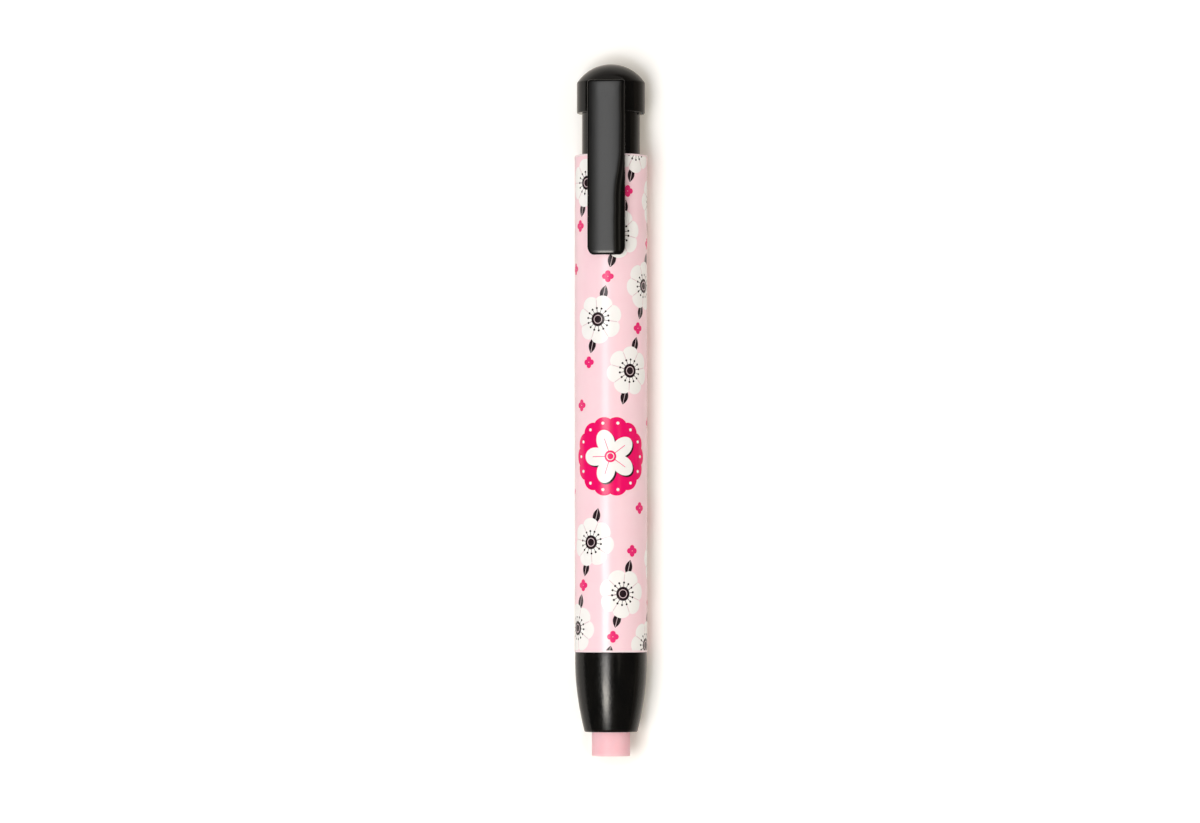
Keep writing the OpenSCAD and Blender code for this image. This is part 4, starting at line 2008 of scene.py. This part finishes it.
@dataclass
class Mechanism:
    """Metal pieces inside the barrel: the return spring, and the clutch ring as in the CAD.

    Attributes:
        spring_at: Stations that the spring's two ends touch.
        coil: Radius of the middle line of its wire.
        wire: Diameter of the wire.
        wire_sides: Faces round the wire.
        turns: Number of turns; the first and the last lie closed.
        steps: Pieces that a turn is cut into.
        stroke: How much a full press shortens the spring; not used.
    """

    spring_at: Point = (67.42, 79.38)
    coil: float = 4.6
    wire: float = 0.5
    wire_sides: int = 12
    turns: int = 8
    steps: int = 36
    stroke: float = 5.0

    def build(self) -> None:
        """Models the spring and dresses the ring."""
        piece = self.spring()
        hand_in(piece, Finishes.steel, Body.BARREL, "spring")
        back, front = self.spring_at
        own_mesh(piece)
        dress_node("clutch_ring", Finishes.brass)

    def spring(self) -> bpy.types.Object:
        """Winds the spring: the wire's end is extruded, turned and moved on step by step.

        Returns:
            The spring.
        """
        foot = self.spring_at[0] + self.wire / 2
        Workshop.put_down()
        bpy.ops.mesh.primitive_circle_add(
            vertices=self.wire_sides,
            radius=self.wire / 2 * MM,
            fill_type="NGON",
            location=((foot - MIDDLE_STATION) * MM, 0, (AXIS_HEIGHT + self.coil) * MM),
            rotation=(math.pi / 2, 0, 0),
        )
        piece = Workshop.added("return_spring")
        centre = (0, 0, AXIS_HEIGHT * MM)
        with Workshop.editing(piece):
            bpy.ops.mesh.select_all(action="SELECT")
            for step in range(self.turns * self.steps):
                rise = self.rise((step + 1) / self.steps) - self.rise(step / self.steps)
                bpy.ops.mesh.extrude_region()
                bpy.ops.transform.rotate(
                    value=2 * math.pi / self.steps, orient_axis="X", center_override=centre
                )
                bpy.ops.transform.translate(value=(rise * MM, 0, 0))
        Workshop.close_up(piece)
        return piece

    def rise(self, turns: float) -> float:
        """Gives how far along the spring its wire has come.

        Args:
            turns: Number of turns from its rear end.

        Returns:
            Distance from the wire's beginning, in mm.
        """
        open_turns = self.turns - 2
        pitch = (self.spring_at[1] - self.spring_at[0] - 3 * self.wire) / open_turns
        closed = min(turns, 1.0) + max(0.0, turns - open_turns - 1)
        return self.wire * closed + pitch * min(max(0.0, turns - 1), open_turns)


# Studio


@dataclass
class Lamp:
    """A rectangular lamp.

    Attributes:
        name: Name of the lamp.
        radiance: Brightness of its face.
        colour: Colour of its light.
    """

    name: str
    radiance: float
    colour: Triple

    def hang(self, place: Vector, aim: Vector, size: Point) -> bpy.types.Object:
        """Adds the lamp.

        Args:
            place: Its middle, in m.
            aim: Direction that it shines in.
            size: Its width and height, in m.

        Returns:
            The lamp.
        """
        Workshop.put_down()
        bpy.ops.object.light_add(type="AREA", location=place)
        lamp = bpy.context.object
        lamp.name = self.name
        lamp.rotation_euler = (-aim).to_track_quat("Z", "Y").to_euler()
        lamp.data.shape = "RECTANGLE"
        lamp.data.size, lamp.data.size_y = size
        lamp.data.energy = self.radiance * math.pi * size[0] * size[1]
        lamp.data.color = self.colour
        log.info("%s: %.2f W", self.name, lamp.data.energy)
        return lamp


@dataclass
class Softbox(Lamp):
    """A lamp that hangs level over the pen.

    No two hang at one height, because a reflection would then show only one of them.

    Attributes:
        across: Angles from straight above towards +Y that it lies between, in degrees.
        along: Places along X that it lies between, in m.
        height: Height over the floor, in m.
        gloss_only: Whether it shows in reflections alone.
    """

    across: Point
    along: Point
    height: float
    gloss_only: bool = False

    def light(self) -> None:
        """Adds the lamp, facing down."""
        low, high = (self.height * math.tan(math.radians(angle)) for angle in self.across)
        start, end = self.along
        place = Vector(((start + end) / 2, (low + high) / 2, self.height))
        lamp = self.hang(place, Vector((0, 0, -1)), (end - start, high - low))
        lamp.visible_camera = False
        lamp.visible_diffuse = not self.gloss_only


@dataclass
class Card(Lamp):
    """A lit card beside the pen that faces it, out of sight and out of its reflections.

    Attributes:
        place: Its middle, in m.
        size: Its width and height, in m.
    """

    place: Triple
    size: Point

    def light(self) -> None:
        """Adds the card."""
        lamp = self.hang(Vector(self.place), -Vector(self.place), self.size)
        lamp.visible_camera = False
        lamp.visible_glossy = False


@dataclass
class Studio:
    """White floor, dim room, softboxes and a card.

    Attributes:
        floor_size: Side of the floor, in m.
        lift_half: Half the length of the line that the lift's distances start from, in mm.
        barrel: Places along X that the pink barrel lies between, in mm.
        floor_colour: Colour of the floor.
        gloss_colours: Colours of the floor in reflections, by the pen and under the full painted
            shade: the floor is painted darker in reflections than it is.
        reflection_shade_left: Distances towards +Y that this painted shade comes in between on
            the -Y side, and how far.
        reflection_shade_right: The same on the +Y side.
        reflection_shade_head: Places along the pen that it comes in between beyond the head, and
            how far.
        reflection_shade_shift: Places along the pen by the head that the +Y side's painted shade
            comes closer between, and by how much.
        painted_gloss_glow: Brightness of the floor's painted glow in reflections.
        lift: Extra brightness of the floor for the camera: by the pen, near it, and further off
        where the light falls away; the lower two paint shade round the pen.
        painted_bounce_lift: The first two beside the barrel: painted pink bounce light from it
        on the floor.
        barrel_blend: Distance over which the two pairs change over on either side of the
            barrel's ends, in mm.
        lift_at: Distances from the pen's axis that these hold at, in mm.
        nose_in: Places along the pen that these come closer between, where the nose cone
        narrows, and by how much, so that the painted shade narrows with it.
        nose_out: Places along the pen that this ends between, and how far.
        left_shade: Distances that a shade on the -Y side ends between, and its share.
        far_lift: Distances that the last lift grows between, where little light falls, and
            its factor there.
        room: Brightness of the room for light, and for reflections overhead and at the horizon.
        room_tint: Colour of the room in reflections.
        horizon_height: Heights of a direction that the horizon's brightness ends between,
            and its share below them.
        horizon_along: The same for its reach along the pen, where it begins.
        lamps: The softboxes and the card.
    """

    floor_size: float = 6.0
    lift_half: float = 57.6
    barrel: Point = (-45.4, 43.3)
    floor_colour: Colour = (0.9, 0.895, 0.885, 1.0)
    gloss_colours: tuple[Colour, Colour] = ((0.72, 0.68, 0.63, 1.0), (0.2, 0.172, 0.145, 1.0))
    reflection_shade_left: Triple = (-30.0, -7.0, 0.25)
    reflection_shade_right: Triple = (6.0, 48.0, 1.0)
    reflection_shade_head: Triple = (-110.0, -61.0, 0.6)
    reflection_shade_shift: Triple = (-60.0, -20.0, 15.0)
    painted_gloss_glow: float = 0.5
    lift: tuple[Colour, Colour, Colour] = (
        (0.18, 0.155, 0.115, 1.0),
        (0.29, 0.275, 0.25, 1.0),
        (0.6, 0.6, 0.6, 1.0),
    )
    painted_bounce_lift: tuple[Colour, Colour] = ((0.17, 0.1, 0.07, 1.0), (0.24, 0.215, 0.19, 1.0))
    barrel_blend: float = 3.0
    lift_at: Triple = (5.9, 7.5, 40.0)
    nose_in: Triple = (45.0, 56.0, 0.9)
    nose_out: Triple = (57.0, 60.0, 1.0)
    left_shade: Triple = (8.0, 16.0, 0.25)
    far_lift: Triple = (200.0, 900.0, 1.5)
    room: Triple = (0.345, 0.08, 0.5)
    room_tint: Colour = (1.0, 0.93, 0.84, 1.0)
    horizon_height: Triple = (0.35, 0.7, 1.0)
    horizon_along: Triple = (0.5, 0.85, 1.0)
    lamps: tuple[Softbox | Card, ...] = (
        Softbox("key_1", 0.4, WHITE, (-31.0, 8.0), (-0.23, 0.52), 0.80),
        Softbox("key_2", 0.8, WHITE, (-26.0, 4.5), (-0.22, 0.51), 0.81),
        Softbox("key_3", 1.0, WHITE, (-22.5, 1.5), (-0.21, 0.50), 0.82),
        Softbox("key_4", 1.0, WHITE, (-20.0, -1.5), (-0.20, 0.49), 0.83),
        Softbox("key_5", 0.8, WHITE, (-17.5, -5.0), (-0.19, 0.48), 0.84),
        Softbox("front_1", 2.0, PALE_AMBER, (-24.0, 3.0), (0.01, 0.45), 0.85),
        Softbox("front_2", 2.6, PALE_AMBER, (-20.5, -1.0), (0.02, 0.44), 0.86),
        Softbox("front_3", 2.2, PALE_AMBER, (-17.5, -5.0), (0.03, 0.43), 0.87),
        Softbox("core_1", 9.9, AMBER, (-20.0, -2.0), (0.22, 0.39), 0.88, True),
        Softbox("core_2", 11.0, AMBER, (-17.0, -6.0), (0.23, 0.38), 0.89, True),
        Softbox("thin_strip", 1.1, AMBER, (9.0, 12.5), (-0.2, 0.2), 0.90),
        Softbox("side_strip", 0.7, AMBER, (28.0, 36.0), (-0.2, 0.15), 0.91),
        Card("warm_fill", 0.9, PEACH, (0.0, 0.76, 0.25), (0.6, 0.4)),
    )

    def build(self) -> None:
        """Sets up the floor, the room and the lamps."""
        self.floor()
        self.air()
        for lamp in self.lamps:
            lamp.light()
        bpy.context.scene.view_settings.view_transform = "Standard"

    def floor(self) -> None:
        """Lays the floor that the pen rests on."""
        Workshop.put_down()
        bpy.ops.mesh.primitive_plane_add(size=self.floor_size)
        plane = Workshop.added("studio_floor")
        material = bpy.data.materials.new("studio_floor")
        bench = NodeBench(material)
        camera, glossy, clear = bench.rays()
        along, side, _ = bench.place()
        # Painted shade of the floor as it is seen in reflections.
        reflection_shade = self.reflection_shade(along, side)
        distance = self.distance(along, side)
        shade = distance.falls(self.left_shade) * side.falls((-BARREL_RADIUS, 0.0, 1.0))
        start, end, most = self.far_lift
        # The camera sees the floor lifted, with painted shade by the pen and on the -Y side.
        seen = camera * (distance.spread(start, end, 1.0, most) - shade)
        # Painted glow of the floor in reflections, less under its painted shade.
        mirrored = glossy * (1.0 - reflection_shade) * self.painted_gloss_glow
        diffuse = bench.node("BsdfDiffuse")
        in_gloss = bench.mix(reflection_shade, *self.gloss_colours)
        bench.fill(diffuse, {"Color": bench.mix(glossy, self.floor_colour, in_gloss)})
        glow = bench.node("Emission")
        bench.fill(glow, {
            "Color": self.lifted(along, distance),
            "Strength": seen.larger(mirrored).larger(clear),
        })
        both = bench.node("AddShader")
        bench.fill(both, {0: diffuse.outputs[0], 1: glow.outputs[0]})
        bench.end("OutputMaterial", both.outputs[0])
        plane.data.materials.append(material)

    def reflection_shade(self, along: Signal, side: Signal) -> Signal:
        """Works out the painted shade of the floor in reflections.

        Args:
            along: Place along the pen, in mm.
            side: Distance from its axis towards +Y, in mm.

        Returns:
            0 by the pen, up to 1 where the painted shade is full.
        """
        right = (side + along.falls(self.reflection_shade_shift)).rises(self.reflection_shade_right)
        return right.larger(side.falls(self.reflection_shade_left)).larger(along.falls(self.reflection_shade_head))

    def distance(self, along: Signal, side: Signal) -> Signal:
        """Works out the distance from the pen's axis that the lift and its painted shade go by.

        Args:
            along: Place along the pen, in mm.
            side: Distance from its axis towards +Y, in mm.

        Returns:
            The distance, in mm, which is longer beside the narrow end of the nose cone, where
            the painted shade is narrower.
        """
        beyond = (abs(along) - self.lift_half).larger(0.0)
        narrowed = along.rises(self.nose_in) * along.falls(self.nose_out)
        return beyond.hypotenuse(side) + narrowed

    def lifted(self, along: Signal, distance: Signal) -> Socket:
        """Works out the colour of the floor's extra brightness, with painted shade by the pen and
        painted pink bounce light beside the barrel.

        Args:
            along: Place along the pen, in mm.
            distance: Distance from the pen's axis, in mm.

        Returns:
            The colour.
        """
        bench = along.bench
        # Painted shade round the pen: the lift is lowest by it and grows with distance.
        by, near, off = self.lift_at
        reach = distance.spread(by, near)
        start, end = self.barrel
        half, blend = (end - start) / 2, self.barrel_blend
        # Beside the barrel the lift is pinker: painted bounce light from the barrel.
        beside = abs(along - (start + end) / 2).falls((half - blend, half + blend, 1.0))
        *plain, furthest = self.lift
        close = bench.mix(beside, bench.mix(reach, *plain), bench.mix(reach, *self.painted_bounce_lift))
        return bench.mix(distance.spread(near, off), close, furthest)

    def air(self) -> None:
        """Makes the room: white where the camera looks, soft for light and dim in reflections."""
        world = bpy.data.worlds.new("studio_room")
        bpy.context.scene.world = world
        bench = NodeBench(world)
        camera, glossy, clear = bench.rays()
        along, _, height = bench.place("Generated", unit=1.0)
        light, overhead, horizon = self.room
        band = height.falls(self.horizon_height) * abs(along).rises(self.horizon_along)
        shine = overhead + band * (horizon - overhead)
        back = bench.node("Background")
        bench.fill(back, {
            "Color": bench.mix(glossy, (*WHITE, 1.0), self.room_tint),
            "Strength": camera.larger(clear).larger(light + glossy * (shine - light)),
        })
        bench.end("OutputWorld", back.outputs[0])

@dataclass
class PhotoCamera:
    """Camera at the photograph's viewing angle.

    Attributes:
        place: Where the camera stands, in m.
        target: What the middle of the picture shows, in m.
        view_width: Width of the picture at the target, in m.
        sensor: Width of the sensor, in mm.
    """

    place: Triple = (0.03582, 0.1080, 1.0006)
    target: Triple = (0.00035, -0.00197, 0.0065)
    view_width: float = 0.2146
    sensor: float = 36.0

    def build(self) -> None:
        """Adds the camera, with the pen's rear end at the top of the picture."""
        ahead = (Vector(self.target) - Vector(self.place)).normalized()
        right = ahead.cross(Vector((-1, 0, 0))).normalized()
        up = right.cross(ahead)
        turned = Matrix((right, up, -ahead)).transposed()
        Workshop.put_down()
        bpy.ops.object.camera_add(location=self.place)
        camera = bpy.context.object
        camera.name = "photo_camera"
        camera.rotation_euler = turned.to_euler()
        distance = (Vector(self.target) - Vector(self.place)).length
        camera.data.sensor_width = self.sensor
        camera.data.lens = self.sensor * distance / self.view_width
        bpy.context.scene.camera = camera


def main() -> None:
    """Builds the eraser stick and its studio, piece by piece."""
    logging.basicConfig(level=logging.INFO, format="%(name)s %(message)s")
    pieces = (Barrel, FrontEnd, PushButton, PocketClip, EraserStick, Mechanism)
    for assembly in (*pieces, Studio, PhotoCamera):
        assembly().build()
        log.info("%s done", assembly.__name__)


if __name__ == "__main__":
    main()
